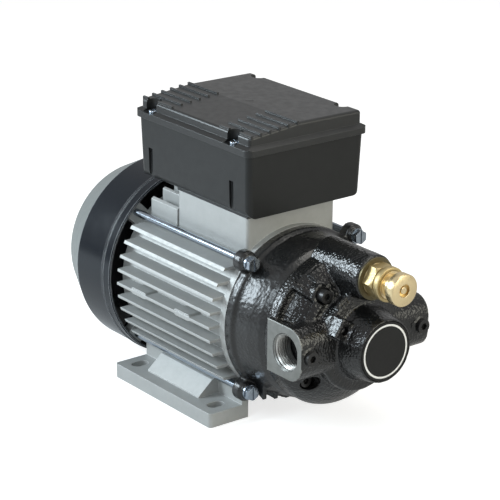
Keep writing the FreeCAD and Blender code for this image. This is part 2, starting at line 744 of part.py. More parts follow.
def motor_shaft():
    """Stepped shaft through both bearings, carrying fan, rotor and inner rotor."""
    clip_x = FAN_X0 - CLIP_THICK
    groove_r = SHAFT_TAIL_R - CLIP_GROOVE
    rear_r = REAR_BEARING[0]
    front_r = FRONT_BEARING[0]
    shaft = turned_x([
        (SHAFT_TAIL_X, 0), (SHAFT_TAIL_X, SHAFT_TAIL_R - 1), (SHAFT_TAIL_X + 1, SHAFT_TAIL_R),
        (clip_x, SHAFT_TAIL_R), (clip_x, groove_r), (FAN_X0, groove_r), (FAN_X0, SHAFT_TAIL_R),
        (REAR_BEARING_X0, SHAFT_TAIL_R), (REAR_BEARING_X0, rear_r),
        (REAR_BEARING_X1, rear_r), (REAR_BEARING_X1, rear_r + SHAFT_SHOULDER),
        (-CAGE_END_X, rear_r + SHAFT_SHOULDER), (-CAGE_END_X, SHAFT_CORE_R),
        (CAGE_END_X, SHAFT_CORE_R), (CAGE_END_X, front_r + SHAFT_SHOULDER),
        (FRONT_BEARING_X, front_r + SHAFT_SHOULDER), (FRONT_BEARING_X, front_r),
        (BEARING_SHOULDER_X, front_r), (BEARING_SHOULDER_X, SHAFT_NOSE_R),
        (SHAFT_NOSE_X - 1, SHAFT_NOSE_R), (SHAFT_NOSE_X, SHAFT_NOSE_R - 1), (SHAFT_NOSE_X, 0)])
    return shaft.cut(key_block())


def key_block():
    half = KEY_WIDTH / 2
    top = SHAFT_Z + SHAFT_NOSE_R
    return box(BELL_FRONT_X + 2, CHAMBER_X1 - 2, -half, half, top - KEY_DEPTH, top + KEY_DEPTH - 0.5)


def shaft_key():
    return key_block()


def race_radius(size):
    """Cross-section radius of the ball groove of a bearing given as bore radius, outer radius, width."""
    bore, outer, width = size
    return (outer - bore) / 2 - RACE_WALL + RACE_DEPTH


def race(size, x0):
    bore, outer, width = size
    return Part.makeTorus((bore + outer) / 2, race_radius(size), vec(x0 + width / 2, 0, SHAFT_Z), X_AXIS)


def bearing_outer_ring(size, x0):
    bore, outer, width = size
    return ring_x(x0, x0 + width, outer, outer - RACE_WALL).cut(race(size, x0))


def bearing_inner_ring(size, x0):
    bore, outer, width = size
    return ring_x(x0, x0 + width, bore + RACE_WALL, bore).cut(race(size, x0))


def bearing_balls(size, x0):
    bore, outer, width = size
    places = [on_circle((bore + outer) / 2, 360 / BALLS * k) for k in range(BALLS)]
    r = race_radius(size) - BALL_CLEARANCE
    return Part.makeCompound([Part.makeSphere(r, vec(x0 + width / 2, y, z)) for y, z in places])


def wave_spring():
    """Preload ring behind the rear bearing."""
    x0 = REAR_BEARING_X0 - WAVE_THICK
    return ring_x(x0, REAR_BEARING_X0, REAR_BEARING[1], REAR_BEARING[1] - 3.0)


def fan():
    """Radial fan: hub, disc and straight blades that narrow towards the hub."""
    hub_x1 = FAN_X0 + FAN_HUB_LENGTH
    hub = cone_x(FAN_X0, hub_x1, FAN_HUB_R - 1, FAN_HUB_R)
    disc = rod_x(hub_x1 - FAN_DISC_THICK, hub_x1, FAN_R)
    half = FAN_BLADE_THICK / 2
    outline = [(hub_x1, FAN_HUB_R - 3), (hub_x1, FAN_R), (FAN_X0 + 6, FAN_R), (FAN_X0 + 1, FAN_R - 8),
               (FAN_X0 + 1, FAN_HUB_R + 12), (FAN_X0 + 9, FAN_HUB_R - 3)]
    blade = prism([vec(x, r, SHAFT_Z - half) for x, r in outline], vec(0, 0, FAN_BLADE_THICK))
    solid = fused([hub, disc] + [around_shaft(blade, 360 / FAN_BLADES * k) for k in range(FAN_BLADES)])
    return solid.cut(rod_x(FAN_X0, hub_x1, SHAFT_TAIL_R))


def fan_clip():
    """Open retaining clip in the groove behind the fan."""
    inner = SHAFT_TAIL_R - CLIP_GROOVE
    clip = ring_x(FAN_X0 - CLIP_THICK, FAN_X0, inner + CLIP_WALL, inner)
    mouth = box(FAN_X0 - CLIP_THICK, FAN_X0, -inner * 0.5, inner * 0.5, SHAFT_Z, SHAFT_Z + 2 * SHAFT_TAIL_R)
    return clip.cut(mouth)


def fan_cover_ring():
    """Plain band over the rear of the frame, with a raised bead and four screw lugs."""
    bead_r = COVER_R + COVER_BEAD_HEIGHT
    bead_x1 = COVER_BEAD_X + COVER_BEAD_WIDTH
    band = turned_x([
        (COVER_RING_X0, COVER_INNER_R), (COVER_RING_X0, COVER_R), (COVER_BEAD_X - 1, COVER_R),
        (COVER_BEAD_X, bead_r), (bead_x1, bead_r), (bead_x1 + 0.4, COVER_R), (COVER_RING_X1 - 1, COVER_R),
        (COVER_RING_X1, COVER_R - 1), (COVER_RING_X1, COVER_INNER_R)])
    lug_x0 = SHIELD_ARM_X0 - COVER_LUG_THICK
    lug = box(lug_x0, SHIELD_ARM_X0, COVER_LUG_R, COVER_INNER_R + 1,
              SHAFT_Z - COVER_LUG_WIDTH / 2, SHAFT_Z + COVER_LUG_WIDTH / 2)
    lug = lug.common(rod_x(lug_x0, SHIELD_ARM_X0, COVER_INNER_R + 0.5))
    solid = fused([band] + [around_shaft(lug, 45 + 90 * k) for k in range(4)])
    for k in range(4):
        y, z = on_circle(COVER_SCREW_RADIUS, 45 + 90 * k)
        solid = solid.cut(rod_x(lug_x0, SHIELD_ARM_X0, COVER_SCREW_R + ROD_CLEARANCE, y, z))
    return solid


def fan_cover_screws():
    x0 = SHIELD_ARM_X0 - COVER_LUG_THICK
    screws = []
    for k in range(4):
        y, z = on_circle(COVER_SCREW_RADIUS, 45 + 90 * k)
        screws.append(fused([rod_x(x0 - COVER_SCREW_HEAD, x0, 2 * COVER_SCREW_R, y, z),
                             rod_x(x0, x0 + COVER_SCREW_LENGTH, COVER_SCREW_R, y, z)]))
    return Part.makeCompound(screws)


def grille_cutter():
    """Ring slots of the air grille, parted by spokes."""
    x0 = DOME_X0 - 1
    x1 = DOME_X0 + DOME_WALL + 1
    half = GRILLE_SPOKE_WIDTH / 2
    spoke = box(x0, x1, -half, half, SHAFT_Z, SHAFT_Z + COVER_R)
    turns = [360 / GRILLE_SPOKES * k for k in range(GRILLE_SPOKES)]
    spokes = Part.makeCompound([around_shaft(spoke, turn) for turn in turns])
    cutters = []
    for inner, outer in zip(GRILLE_R[::2], GRILLE_R[1::2]):
        cutters.append(ring_x(x0, x1, outer, inner).cut(spokes))
    return Part.makeCompound(cutters)


def fan_cover_dome():
    """Tapered rear end of the fan cover with a slotted air grille."""
    front_x = COVER_RING_X0 + DOME_LIP
    lip_r = COVER_INNER_R - DOME_FIT
    slope = (COVER_R - DOME_REAR_R) / (COVER_RING_X0 - DOME_X0)
    wall = DOME_WALL * math.hypot(1, slope)
    inner_x = DOME_X0 + DOME_WALL
    outer = turned_x([(DOME_X0, 0), (DOME_X0, DOME_REAR_R), (COVER_RING_X0, COVER_R), (COVER_RING_X0, 0)])
    outer = rounded(outer, DOME_ROUND, circle_at(DOME_X0))
    inner = turned_x([(inner_x, 0), (inner_x, DOME_REAR_R + slope * DOME_WALL - wall),
                      (COVER_RING_X0, COVER_R - wall - DOME_FIT), (COVER_RING_X0, 0)])
    inner = rounded(inner, DOME_ROUND - DOME_WALL, circle_at(inner_x))
    lip = ring_x(COVER_RING_X0 - 1, front_x, lip_r, lip_r - DOME_WALL)
    neck = rod_x(COVER_RING_X0 - 1, COVER_RING_X0, lip_r - DOME_WALL)
    return fused([outer.cut(inner), lip]).cut(neck).cut(grille_cutter())


def bell_outline():
    """Bell half outline from the frame face to the pump joint, as (x, radius)."""
    return [(FRAME_X1, FRONT_RING_R), (BELL_RIM_X - 1, FRONT_RING_R), (BELL_RIM_X, FRONT_RING_R - 1),
            (BELL_RIM_X + 1.2, BELL_BODY_R), (BELL_RIM_X + 14, BELL_BODY_R - 1.6),
            (BELL_FRONT_X - 5, BELL_FRONT_R + 2.6), (BELL_FRONT_X, BELL_FRONT_R)]


def bell_ribs():
    """Short upright ribs under the bell in line with the fins."""
    ribs = []
    half = BELL_RIB_THICK / 2
    for y in BELL_RIB_Y:
        rim_z = SHAFT_Z - math.sqrt(FRONT_RING_R ** 2 - y ** 2)
        body_z = SHAFT_Z - math.sqrt(BELL_BODY_R ** 2 - y ** 2)
        tip_z = BELL_RIB_TIP_Z + BELL_RIB_RISE * (y - BELL_RIB_Y[0])
        outline = [(BELL_RIM_X - 3, rim_z + 8), (BELL_RIM_X - 3, rim_z), (BELL_RIB_X, tip_z),
                   (BELL_RIB_X, body_z + 8)]
        for side in (-y, y):
            ribs.append(prism_y(outline, side - half, side + half))
    return ribs


def bell_housing():
    """Cast bell that closes the motor, holds the front bearing and carries the pump body."""
    shell = turned_x([(FRAME_X1 - BELL_SPIGOT_LENGTH, 0), (FRAME_X1 - BELL_SPIGOT_LENGTH, FRAME_BORE_R),
                      (FRAME_X1, FRAME_BORE_R)] + bell_outline() + [(BELL_FRONT_X, 0)])
    neck = box(FRAME_X1, BELL_RIM_X, FRONT_RING_R - EAR_ROOT, EAR_CENTRE_R,
               SHAFT_Z - EAR_NECK_HALF, SHAFT_Z + EAR_NECK_HALF)
    lugs = [around_shaft(neck, 45 + 90 * k) for k in range(4)]
    for y, z in ears():
        lugs.append(rod_x(FRAME_X1, BELL_RIM_X, EAR_R, y, z))
        lugs.append(rod_x(BELL_RIM_X, FRAME_X1 + EAR_BOSS_LENGTH, WASHER_R + 0.8, y, z))
    solid = fused([shell] + lugs + bell_ribs())
    cavity_x1 = BELL_FRONT_X - BELL_FRONT_WALL
    room = turned_x([(FRAME_X1 - BELL_SPIGOT_LENGTH, BELL_HUB_R),
                     (FRAME_X1 - BELL_SPIGOT_LENGTH, FRAME_BORE_R - BELL_SPIGOT_WALL),
                     (BELL_RIM_X + 4, BELL_BODY_R - BELL_WALL - 2), (cavity_x1, BELL_FRONT_R - BELL_WALL),
                     (cavity_x1, BELL_HUB_R)])
    solid = solid.cut(room)
    solid = solid.cut(rod_x(FRAME_X1 - BELL_SPIGOT_LENGTH, BELL_HUB_X, BELL_HUB_R + 1))
    solid = solid.cut(rod_x(BELL_HUB_X - 8, BEARING_SHOULDER_X, FRONT_BEARING[1]))
    solid = solid.cut(rod_x(BEARING_SHOULDER_X, SEAL_X0, BELL_SHOULDER_R))
    solid = solid.cut(rod_x(SEAL_X0, PLATE_X0, SEAL_R))
    solid = solid.cut(rod_x(PLATE_X0, BELL_FRONT_X, PLATE_R))
    for y, z in ears():
        solid = solid.cut(rod_x(FRAME_X1, FRAME_X1 + EAR_BOSS_LENGTH, ROD_R + ROD_CLEARANCE, y, z))
    for place in dowel_places():
        solid = solid.cut(rod_x(PLATE_X0 - DOWEL_DEPTH, PLATE_X0, DOWEL_R, *place))
    for (y, z), seat in body_screw_places():
        solid = solid.cut(rod_x(BELL_FRONT_X - BODY_SCREW_GRIP, BELL_FRONT_X, BODY_SCREW_R, y, z))
    return solid


def tie_rods():
    """Four long hexagon-head rods from the bell ears to the rear shield."""
    head_x = FRAME_X1 + EAR_BOSS_LENGTH + WASHER_THICK
    rods = []
    for y, z in ears():
        shank = rod_x(SHIELD_ARM_X0, head_x, ROD_R, y, z)
        head = hexagon_x(head_x, head_x + ROD_HEAD_HEIGHT, ROD_HEAD_FLATS, y, z)
        rods.append(fused([shank, head]))
    return Part.makeCompound(rods)


def tie_rod_washers():
    x0 = FRAME_X1 + EAR_BOSS_LENGTH
    return Part.makeCompound([ring_x(x0, x0 + WASHER_THICK, WASHER_R, ROD_R + ROD_CLEARANCE, y, z)
                              for y, z in ears()])


def shaft_seal():
    """Lip seal: steel case with an inner lip that runs on the shaft."""
    return turned_x([(SEAL_X0, SEAL_R), (SEAL_X0, SEAL_LIP_R + 3), (SEAL_X0 + 2, SEAL_LIP_R + 3),
                     (SEAL_X0 + 4, SEAL_LIP_R), (SEAL_X0 + 5, SEAL_LIP_R), (SEAL_X0 + 6, SEAL_LIP_R + 2),
                     (SEAL_X0 + 6, SEAL_R - 2), (PLATE_X0, SEAL_R - 2), (PLATE_X0, SEAL_R)])


def dowel_places():
    return [on_circle(DOWEL_RADIUS, angle) for angle in (90, 270)]


def port_plate():
    """Hardened plate that closes the gear chamber on the motor side."""
    plate = ring_x(PLATE_X0, BELL_FRONT_X, PLATE_R, SHAFT_NOSE_R + PLATE_SHAFT_CLEARANCE)
    for place in dowel_places():
        plate = plate.cut(rod_x(PLATE_X0, BELL_FRONT_X, DOWEL_R, *place))
    for (y, z), seat in body_screw_places():
        plate = plate.cut(rod_x(PLATE_X0, BELL_FRONT_X, BODY_SCREW_R + SCREW_CLEARANCE, y, z))
    return plate.cut(kidneys(BELL_FRONT_X - 2, BELL_FRONT_X))


def plate_dowels():
    x0 = PLATE_X0 - DOWEL_DEPTH
    return Part.makeCompound([rod_x(x0, x0 + DOWEL_LENGTH, DOWEL_R, y, z) for y, z in dowel_places()])


def kidneys(x0, x1):
    """The two kidney-shaped port windows beside the shaft, inlet at -Y and outlet at +Y."""
    ring = ring_x(x0, x1, KIDNEY_R1, KIDNEY_R0, 0, SHAFT_Z)
    reach = 2 * KIDNEY_R1
    side = reach * math.tan(math.radians(KIDNEY_HALF_ANGLE))
    wedge = prism_x([(0, SHAFT_Z), (reach, SHAFT_Z - side), (reach, SHAFT_Z + side)], x0, x1)
    return Part.makeCompound([ring.common(wedge), ring.common(mirrored(wedge))])


def inner_rotor_point(t):
    """Point of the inner rotor outline, which rolls against the round lobes of the outer rotor."""
    n = OUTER_LOBES
    roll = LOBE_CENTRE_R / (ECCENTRICITY * n)
    lobe = LOBE_R + TOOTH_GAP
    psi = math.atan2(math.sin((1 - n) * t), roll - math.cos((1 - n) * t))
    a = LOBE_CENTRE_R * math.cos(t) - lobe * math.cos(t + psi) - ECCENTRICITY * math.cos(n * t)
    b = -LOBE_CENTRE_R * math.sin(t) + lobe * math.sin(t + psi) + ECCENTRICITY * math.sin(n * t)
    return a, b


def inner_rotor():
    """Inner rotor with six teeth, keyed to the shaft."""
    x0 = BELL_FRONT_X + GEAR_SIDE_GAP
    x1 = CHAMBER_X1 - GEAR_SIDE_GAP
    steps = TOOTH_POINTS * INNER_LOBES
    outline = [inner_rotor_point(2 * math.pi * k / steps) for k in range(steps)]
    curve = Part.BSplineCurve()
    curve.interpolate([vec(x0, b, SHAFT_Z - a) for a, b in outline], PeriodicFlag=True)
    body = Part.Face(Part.Wire(curve.toShape())).extrude(vec(x1 - x0, 0, 0))
    return body.cut(rod_x(x0, x1, SHAFT_NOSE_R)).cut(key_block())


def outer_rotor():
    """Outer rotor ring with seven round inward lobes, turning about its own centre."""
    x0 = BELL_FRONT_X + GEAR_SIDE_GAP
    x1 = CHAMBER_X1 - GEAR_SIDE_GAP
    root_r = LOBE_CENTRE_R - LOBE_R + 2 * ECCENTRICITY + ROOT_GAP
    ring = ring_x(x0, x1, OUTER_ROTOR_R, root_r, 0, CHAMBER_Z)
    lobes = []
    for k in range(OUTER_LOBES):
        y, z = on_circle(LOBE_CENTRE_R, 360 / OUTER_LOBES * k - 90, CHAMBER_Z)
        lobes.append(rod_x(x0, x1, LOBE_R, y, z))
    return fused([ring] + lobes)


def body_screw_places():
    places = [on_circle(BODY_SCREW_CIRCLE, angle) for angle in BODY_SCREW_ANGLES]
    return list(zip(places, BODY_SCREW_SEATS))


def cast_band(angles, x0, x1, r0, r1):
    """Sector of a ring about the shaft between two angles."""
    ring = ring_x(x0, x1, r1, r0)
    reach = 2 * r1
    corners = [(0, SHAFT_Z)] + [on_circle(reach, angle) for angle in angles]
    return ring.common(prism_x(corners, x0, x1))


def body_radius(x):
    """Outer radius of the tapered body at x."""
    share = (x - BODY_DRUM_X) / (BODY_TAPER_X - BODY_DRUM_X)
    return BODY_R - (BODY_R - BODY_NECK_R) * min(1, max(0, share)) ** 1.5


def body_form(x0, x1, rise):
    """Solid round form between x0 and x1 that stands proud of the body by a rise."""
    stations = [x0 + (x1 - x0) * k / 6 for k in range(7)]
    return turned_x([(x0, 0)] + [(x, body_radius(x) + rise) for x in stations] + [(x1, 0)])


def body_outline():
    """Cast body half outline from the bell joint to the front disc, as (x, radius)."""
    stations = [BODY_DRUM_X + (BODY_TAPER_X - BODY_DRUM_X) * k / 6 for k in range(7)]
    return ([(BELL_FRONT_X, BODY_R - 1), (BELL_FRONT_X + 1, BODY_R)] + [(x, body_radius(x)) for x in stations]
            + [(BODY_TAPER_X, FLANGE_R), (FLANGE_X1 - 1.5, FLANGE_R), (FLANGE_X1, FLANGE_R - 1.5),
               (FLANGE_X1 + 1, BOSS_ROOT_R + 1.5), (FLANGE_X1 + 3, BOSS_ROOT_R), (BOSS_X1 - 1, BOSS_R),
               (BOSS_X1, BOSS_R - 1)])


def port_block():
    """Outlet port block on the +Y side: straight towards the bell, round towards the front."""
    block = box(PORT_BLOCK_X0, PORT_BLOCK_X1, 0, PORT_FACE_Y,
                PORT_Z - PORT_BLOCK_HALF_Z, PORT_Z + PORT_BLOCK_HALF_Z)
    block = rounded(block, PORT_CORNER_R, lambda e: runs_along(e, Y_AXIS) and e.BoundBox.XMin > PORT_X)
    plug_boss = rod_x(PORT_X, PLUG_BOSS_X1, PLUG_BOSS_R, PLUG_Y, PORT_Z)
    return [block, plug_boss]


def port_cutter():
    """Tapped port, its core and the hole for the gauge plug, on the +Y side."""
    thread_y = PORT_FACE_Y - PORT_THREAD_LENGTH
    mouth_r = PORT_MINOR_R + PORT_CHAMFER
    mouth = Part.makeCone(mouth_r, PORT_MINOR_R, PORT_CHAMFER, vec(PORT_X, PORT_FACE_Y, PORT_Z), -Y_AXIS)
    return [rod_y(thread_y, PORT_FACE_Y, PORT_MINOR_R, PORT_X, PORT_Z), mouth,
            rod_y(PORT_DEPTH_Y, thread_y, PORT_CORE_R, PORT_X, PORT_Z),
            rod_x(PLUG_BOSS_X1 - PLUG_DEPTH, PLUG_BOSS_X1, PLUG_R, PLUG_Y, PORT_Z)]


def valve_housing():
    """Round housing for the relief valve, lying on top of the body."""
    barrel = rod_x(BELL_FRONT_X + 1, VALVE_X1, VALVE_R, 0, VALVE_Z)
    saddle = box(BELL_FRONT_X + 1, FLANGE_X1, -VALVE_R + 3, VALVE_R - 3, SHAFT_Z, VALVE_Z)
    return [rounded(barrel, VALVE_EDGE_R, circle_at(VALVE_X1)), saddle]


def valve_cutter():
    """Valve bore, seat bore and the two slanting passages from the ports."""
    seat_x0 = VALVE_SEAT_X - VALVE_SEAT_DEPTH
    cutters = [rod_x(seat_x0, VALVE_SEAT_X, VALVE_SEAT_R, 0, VALVE_Z),
               rod_x(VALVE_SEAT_X, VALVE_X1, VALVE_BORE_R, 0, VALVE_Z),
               rod_x(NUT_SPIGOT_X0, VALVE_X1, VALVE_SPIGOT_R, 0, VALVE_Z)]
    start_z = PORT_Z + PORT_CORE_R / 2
    for side, end_x in ((1, seat_x0 + PASSAGE_R), (-1, VALVE_SEAT_X + POPPET_CONE + PASSAGE_R)):
        start = vec(PORT_X - PASSAGE_R, side * (PORT_DEPTH_Y + PASSAGE_R), start_z)
        along = vec(end_x, 0, VALVE_Z - VALVE_SEAT_R / 2) - start
        cutters.append(Part.makeCylinder(PASSAGE_R, along.Length, start, along))
    return cutters


def body_details():
    """Pad, pocket frame, screw bosses, lug and pry mark cast on the body."""
    a0, a1 = POCKET_ANGLES
    frame_angles = (a0 - POCKET_RIM_ANGLE, a1 + POCKET_RIM_ANGLE)
    shapes = []
    for angles, (x0, x1) in ((PAD_ANGLES, PAD_PLACE_X), (frame_angles, POCKET_FRAME_X)):
        raised = cast_band(angles, x0, x1, BODY_NECK_R - POCKET_RIM, BODY_R + CAST_PAD_RISE)
        shapes.append(raised.common(body_form(x0, x1, CAST_PAD_RISE)))
    for (y, z), seat in body_screw_places():
        shapes.append(rod_x(BELL_FRONT_X + 1, seat, SCREW_BOSS_R, y, z))
    lug = box(FLANGE_X1 - 2, LUG_X1, LUG_R0, LUG_R1, SHAFT_Z - LUG_WIDTH / 2, SHAFT_Z + LUG_WIDTH / 2)
    shapes.append(around_shaft(lug, LUG_ANGLE))
    pry = box(FLANGE_X1 - PRY_WIDTH - 2, FLANGE_X1 - 2, FLANGE_R - 3, FLANGE_R + PRY_HEIGHT,
              SHAFT_Z - PRY_LENGTH / 2, SHAFT_Z + PRY_LENGTH / 2)
    shapes.append(around_shaft(pry, PRY_ANGLE))
    return shapes


def body_recesses():
    """Shallow pocket inside its frame, screw recesses and lug socket."""
    x0 = POCKET_FRAME_X[0] + POCKET_RIM
    x1 = POCKET_FRAME_X[1] - POCKET_RIM
    pocket = cast_band(POCKET_ANGLES, x0, x1, FLANGE_R, BODY_R + 2 * CAST_PAD_RISE)
    shapes = [pocket.cut(body_form(x0, x1, -POCKET_DEPTH))]
    for (y, z), seat in body_screw_places():
        shapes.append(rod_x(BELL_FRONT_X, seat, BODY_SCREW_R + SCREW_CLEARANCE, y, z))
        shapes.append(rod_x(seat, BOSS_X1, BODY_SCREW_HEAD_R + BODY_SCREW_RECESS_GAP, y, z))
    y, z = on_circle((LUG_R0 + LUG_R1) / 2, LUG_ANGLE)
    shapes.append(rod_x(LUG_X1 - 5, LUG_X1, LUG_SOCKET_R, y, z))
    return shapes


def pump_body():
    """Cast pump body: gear chamber, ports, relief valve housing and front boss."""
    drum = turned_x([(BELL_FRONT_X, 0)] + body_outline() + [(BOSS_X1, 0)])
    ports = port_block()
    ports = ports + [mirrored(p) for p in ports]
    solid = fused([drum] + ports + valve_housing() + body_details())
    chamber_r = OUTER_ROTOR_R + CHAMBER_GAP
    cutters = [rod_x(BELL_FRONT_X, CHAMBER_X1, chamber_r, 0, CHAMBER_Z),
               rod_x(CHAMBER_X1, BUSH_X1, BUSH_R), kidneys(CHAMBER_X1, PORT_X),
               rod_x(BOSS_X1 - DISC_RECESS, BOSS_X1, DISC_R + DISC_GAP), o_ring_groove()]
    port = port_cutter()
    for cutter in cutters + port + [mirrored(p) for p in port] + valve_cutter() + body_recesses():
        solid = solid.cut(cutter)
    for place in dowel_places():
        solid = solid.cut(rod_x(BELL_FRONT_X, PLATE_X0 - DOWEL_DEPTH + DOWEL_LENGTH, DOWEL_R, *place))
    return solid


def o_ring_groove():
    half = O_RING_SECTION / 2
    return ring_x(BELL_FRONT_X, BELL_FRONT_X + O_RING_SECTION, O_RING_R + half, O_RING_R - half)


def body_o_ring():
    """Round-section sealing ring in the joint of body and bell."""
    half = O_RING_SECTION / 2
    return Part.makeTorus(O_RING_R, half, vec(BELL_FRONT_X + half, 0, SHAFT_Z), X_AXIS)


def front_bush():
    return ring_x(CHAMBER_X1, BUSH_X1, BUSH_R, SHAFT_NOSE_R + BUSH_CLEARANCE)


def body_screws():
    """Socket-head screws that hold the body on the bell."""
    screws = []
    for (y, z), seat in body_screw_places():
        shank = rod_x(BELL_FRONT_X - BODY_SCREW_GRIP, seat, BODY_SCREW_R, y, z)
        head = rod_x(seat, seat + BODY_SCREW_HEAD, BODY_SCREW_HEAD_R, y, z)
        socket = hexagon_x(seat + BODY_SCREW_HEAD / 2, seat + BODY_SCREW_HEAD, BODY_SCREW_HEAD_R, y, z)
        screws.append(fused([shank, head]).cut(socket))
    return Part.makeCompound(screws)


def port_plugs():
    """Hexagon-socket plugs of the gauge points beside the ports."""
    plugs = []
    for y in (-PLUG_Y, PLUG_Y):
        shank = rod_x(PLUG_BOSS_X1 - PLUG_DEPTH, PLUG_BOSS_X1, PLUG_R, y, PORT_Z)
        head = rod_x(PLUG_BOSS_X1, PLUG_BOSS_X1 + PLUG_HEAD, PLUG_HEAD_R, y, PORT_Z)
        socket = hexagon_x(PLUG_BOSS_X1, PLUG_BOSS_X1 + PLUG_HEAD, PLUG_SOCKET_FLATS, y, PORT_Z)
        plugs.append(fused([shank, head]).cut(socket))
    return Part.makeCompound(plugs)


def front_disc():
    disc = rod_x(BOSS_X1 - DISC_RECESS, BOSS_X1 - DISC_RECESS + DISC_THICK, DISC_R)
    return disc.cut(disc_ring_groove())


def disc_ring_groove():
    x1 = BOSS_X1 - DISC_RECESS + DISC_THICK
    return ring_x(x1 - DISC_RING_HEIGHT, x1, DISC_RING_R1, DISC_RING_R0)


def front_disc_ring():
    """Pale ring let into the front disc."""
    return disc_ring_groove()


def valve_nut():
    """Brass valve nut: threaded spigot, hexagon, groove and collar, hollow for spring and stem."""
    hexagon = hexagon_x(NUT_X0, NUT_HEX_X1, VALVE_HEX_FLATS, 0, VALVE_Z)
    corner_cone = cone_x(NUT_X0, NUT_HEX_X1, VALVE_HEX_FLATS / 2 + 4, VALVE_HEX_FLATS / 2 + 0.6, 0, VALVE_Z)
    spigot = rod_x(NUT_SPIGOT_X0, NUT_X0, VALVE_SPIGOT_R, 0, VALVE_Z)
    groove = rod_x(NUT_HEX_X1, NUT_COLLAR_X0, VALVE_GROOVE_R, 0, VALVE_Z)
    collar = rod_x(NUT_COLLAR_X0, NUT_X1, VALVE_COLLAR_R, 0, VALVE_Z)
    collar = rounded(collar, 0.8, lambda e: e.Closed)
    solid = fused([hexagon.common(corner_cone), spigot, groove, collar])
    solid = solid.cut(rod_x(NUT_SPIGOT_X0, NUT_X0, SPRING_BORE_R, 0, VALVE_Z))
    solid = solid.cut(rod_x(NUT_X0, NECK_BORE_X0, STEM_R + STEM_CLEARANCE, 0, VALVE_Z))
    return solid.cut(rod_x(NECK_BORE_X0, NUT_X1, KNOB_NECK_R + KNOB_NECK_CLEARANCE, 0, VALVE_Z))


def valve_washer():
    return ring_x(VALVE_X1, NUT_X0, VALVE_WASHER_R, VALVE_SPIGOT_R + VALVE_WASHER_GAP, 0, VALVE_Z)


def valve_poppet():
    """Poppet with a cone on the seat and a hollow skirt that guides the spring."""
    x0 = VALVE_SEAT_X
    cone_x1 = x0 + POPPET_CONE
    floor_x = cone_x1 + POPPET_FLOOR
    skirt_x1 = cone_x1 + POPPET_SKIRT
    cone_r = VALVE_SEAT_R - POPPET_SEAT_GAP
    pocket_r = SPRING_MEAN_R + 2
    return turned_x([(x0 - 2, 0), (x0 - 2, cone_r - 1.5), (x0, cone_r), (cone_x1, POPPET_R),
                     (skirt_x1, POPPET_R), (skirt_x1, pocket_r), (floor_x, pocket_r), (floor_x, 0)],
                    0, VALVE_Z)


def valve_spring():
    """Coil spring between poppet and spring seat."""
    end = SPRING_WIRE_R + SPRING_END_GAP
    x0 = VALVE_SEAT_X + POPPET_CONE + POPPET_FLOOR + end
    length = SPRING_SEAT_X0 - x0 - end
    helix = Part.makeHelix(length / SPRING_TURNS, length, SPRING_MEAN_R)
    start = helix.Edges[0].firstVertex().Point
    profile = Part.Wire(Part.makeCircle(SPRING_WIRE_R, start, Y_AXIS))
    coil = Part.Wire(helix.Edges).makePipeShell([profile], True, True)
    coil.rotate(vec(0, 0, 0), Y_AXIS, 90)
    coil.translate(vec(x0, 0, VALVE_Z))
    return coil


def spring_seat():
    """Disc between spring and stem; the stem turns on its face."""
    return rod_x(SPRING_SEAT_X0, SPRING_SEAT_X1, SEAT_DISC_R, 0, VALVE_Z)


def adjusting_screw():
    """Adjusting screw with stem, neck and knob, turned by a hexagon socket."""
    stem = rod_x(SPRING_SEAT_X1, NECK_X0, STEM_R, 0, VALVE_Z)
    neck = rod_x(NECK_X0, KNOB_X0, KNOB_NECK_R, 0, VALVE_Z)
    knob = rod_x(KNOB_X0, KNOB_X1, KNOB_R, 0, VALVE_Z)
    knob = rounded(knob, 1.0, lambda e: e.Closed)
    socket = hexagon_x(KNOB_X1 - KNOB_SOCKET_DEPTH, KNOB_X1, KNOB_SOCKET_FLATS, 0, VALVE_Z)
    return fused([stem, neck, knob]).cut(socket)


def base_gasket():
    """Gasket frame between pedestal and box, with a tab round each screw."""
    z0 = PEDESTAL_TOP_Z
    z1 = BASE_GASKET_Z1
    w = PEDESTAL_WALL
    frame = box(PEDESTAL_X0, PEDESTAL_X1, -PEDESTAL_HALF_Y, PEDESTAL_HALF_Y, z0, z1)
    window = box(PEDESTAL_X0 + w, PEDESTAL_X1 - w, w - PEDESTAL_HALF_Y, PEDESTAL_HALF_Y - w, z0, z1)
    tabs = [rod_z(z0, z1, PEDESTAL_BOSS_R, x, y) for x, y in base_screw_places()]
    solid = fused([frame.cut(window)] + tabs)
    for x, y in base_screw_places():
        solid = solid.cut(rod_z(z0, z1, BASE_SCREW_R + SCREW_CLEARANCE, x, y))
    return solid


def box_shell(inset, z0):
    """Terminal box form up to its top edge, narrower below, drawn in by an inset."""
    high = BOX_HALF_Y - inset
    low = high - BOX_TAPER
    x0 = BOX_X0 + inset
    x1 = BOX_X1 - inset
    sides = prism_x([(-low, z0), (low, z0), (high, BOX_TOP_Z), (-high, BOX_TOP_Z)], x0, x1)
    ends = prism_y([(x0 + BOX_TAPER, z0), (x1 - BOX_TAPER, z0), (x1, BOX_TOP_Z), (x0, BOX_TOP_Z)],
                   -high, high)
    form = sides.common(ends)
    form = rounded(form, BOX_CORNER_R - inset, lambda e: e.BoundBox.ZLength > BOX_EDGE_R)
    sides = rounded(sides, BOX_EDGE_R - inset, lambda e: runs_along(e, X_AXIS) and e.BoundBox.ZMax < z0 + 1)
    return form.common(sides)


def lid_screw_places():
    return [(x, sy * LID_SCREW_Y) for x in LID_SCREW_X for sy in (-1, 1)]


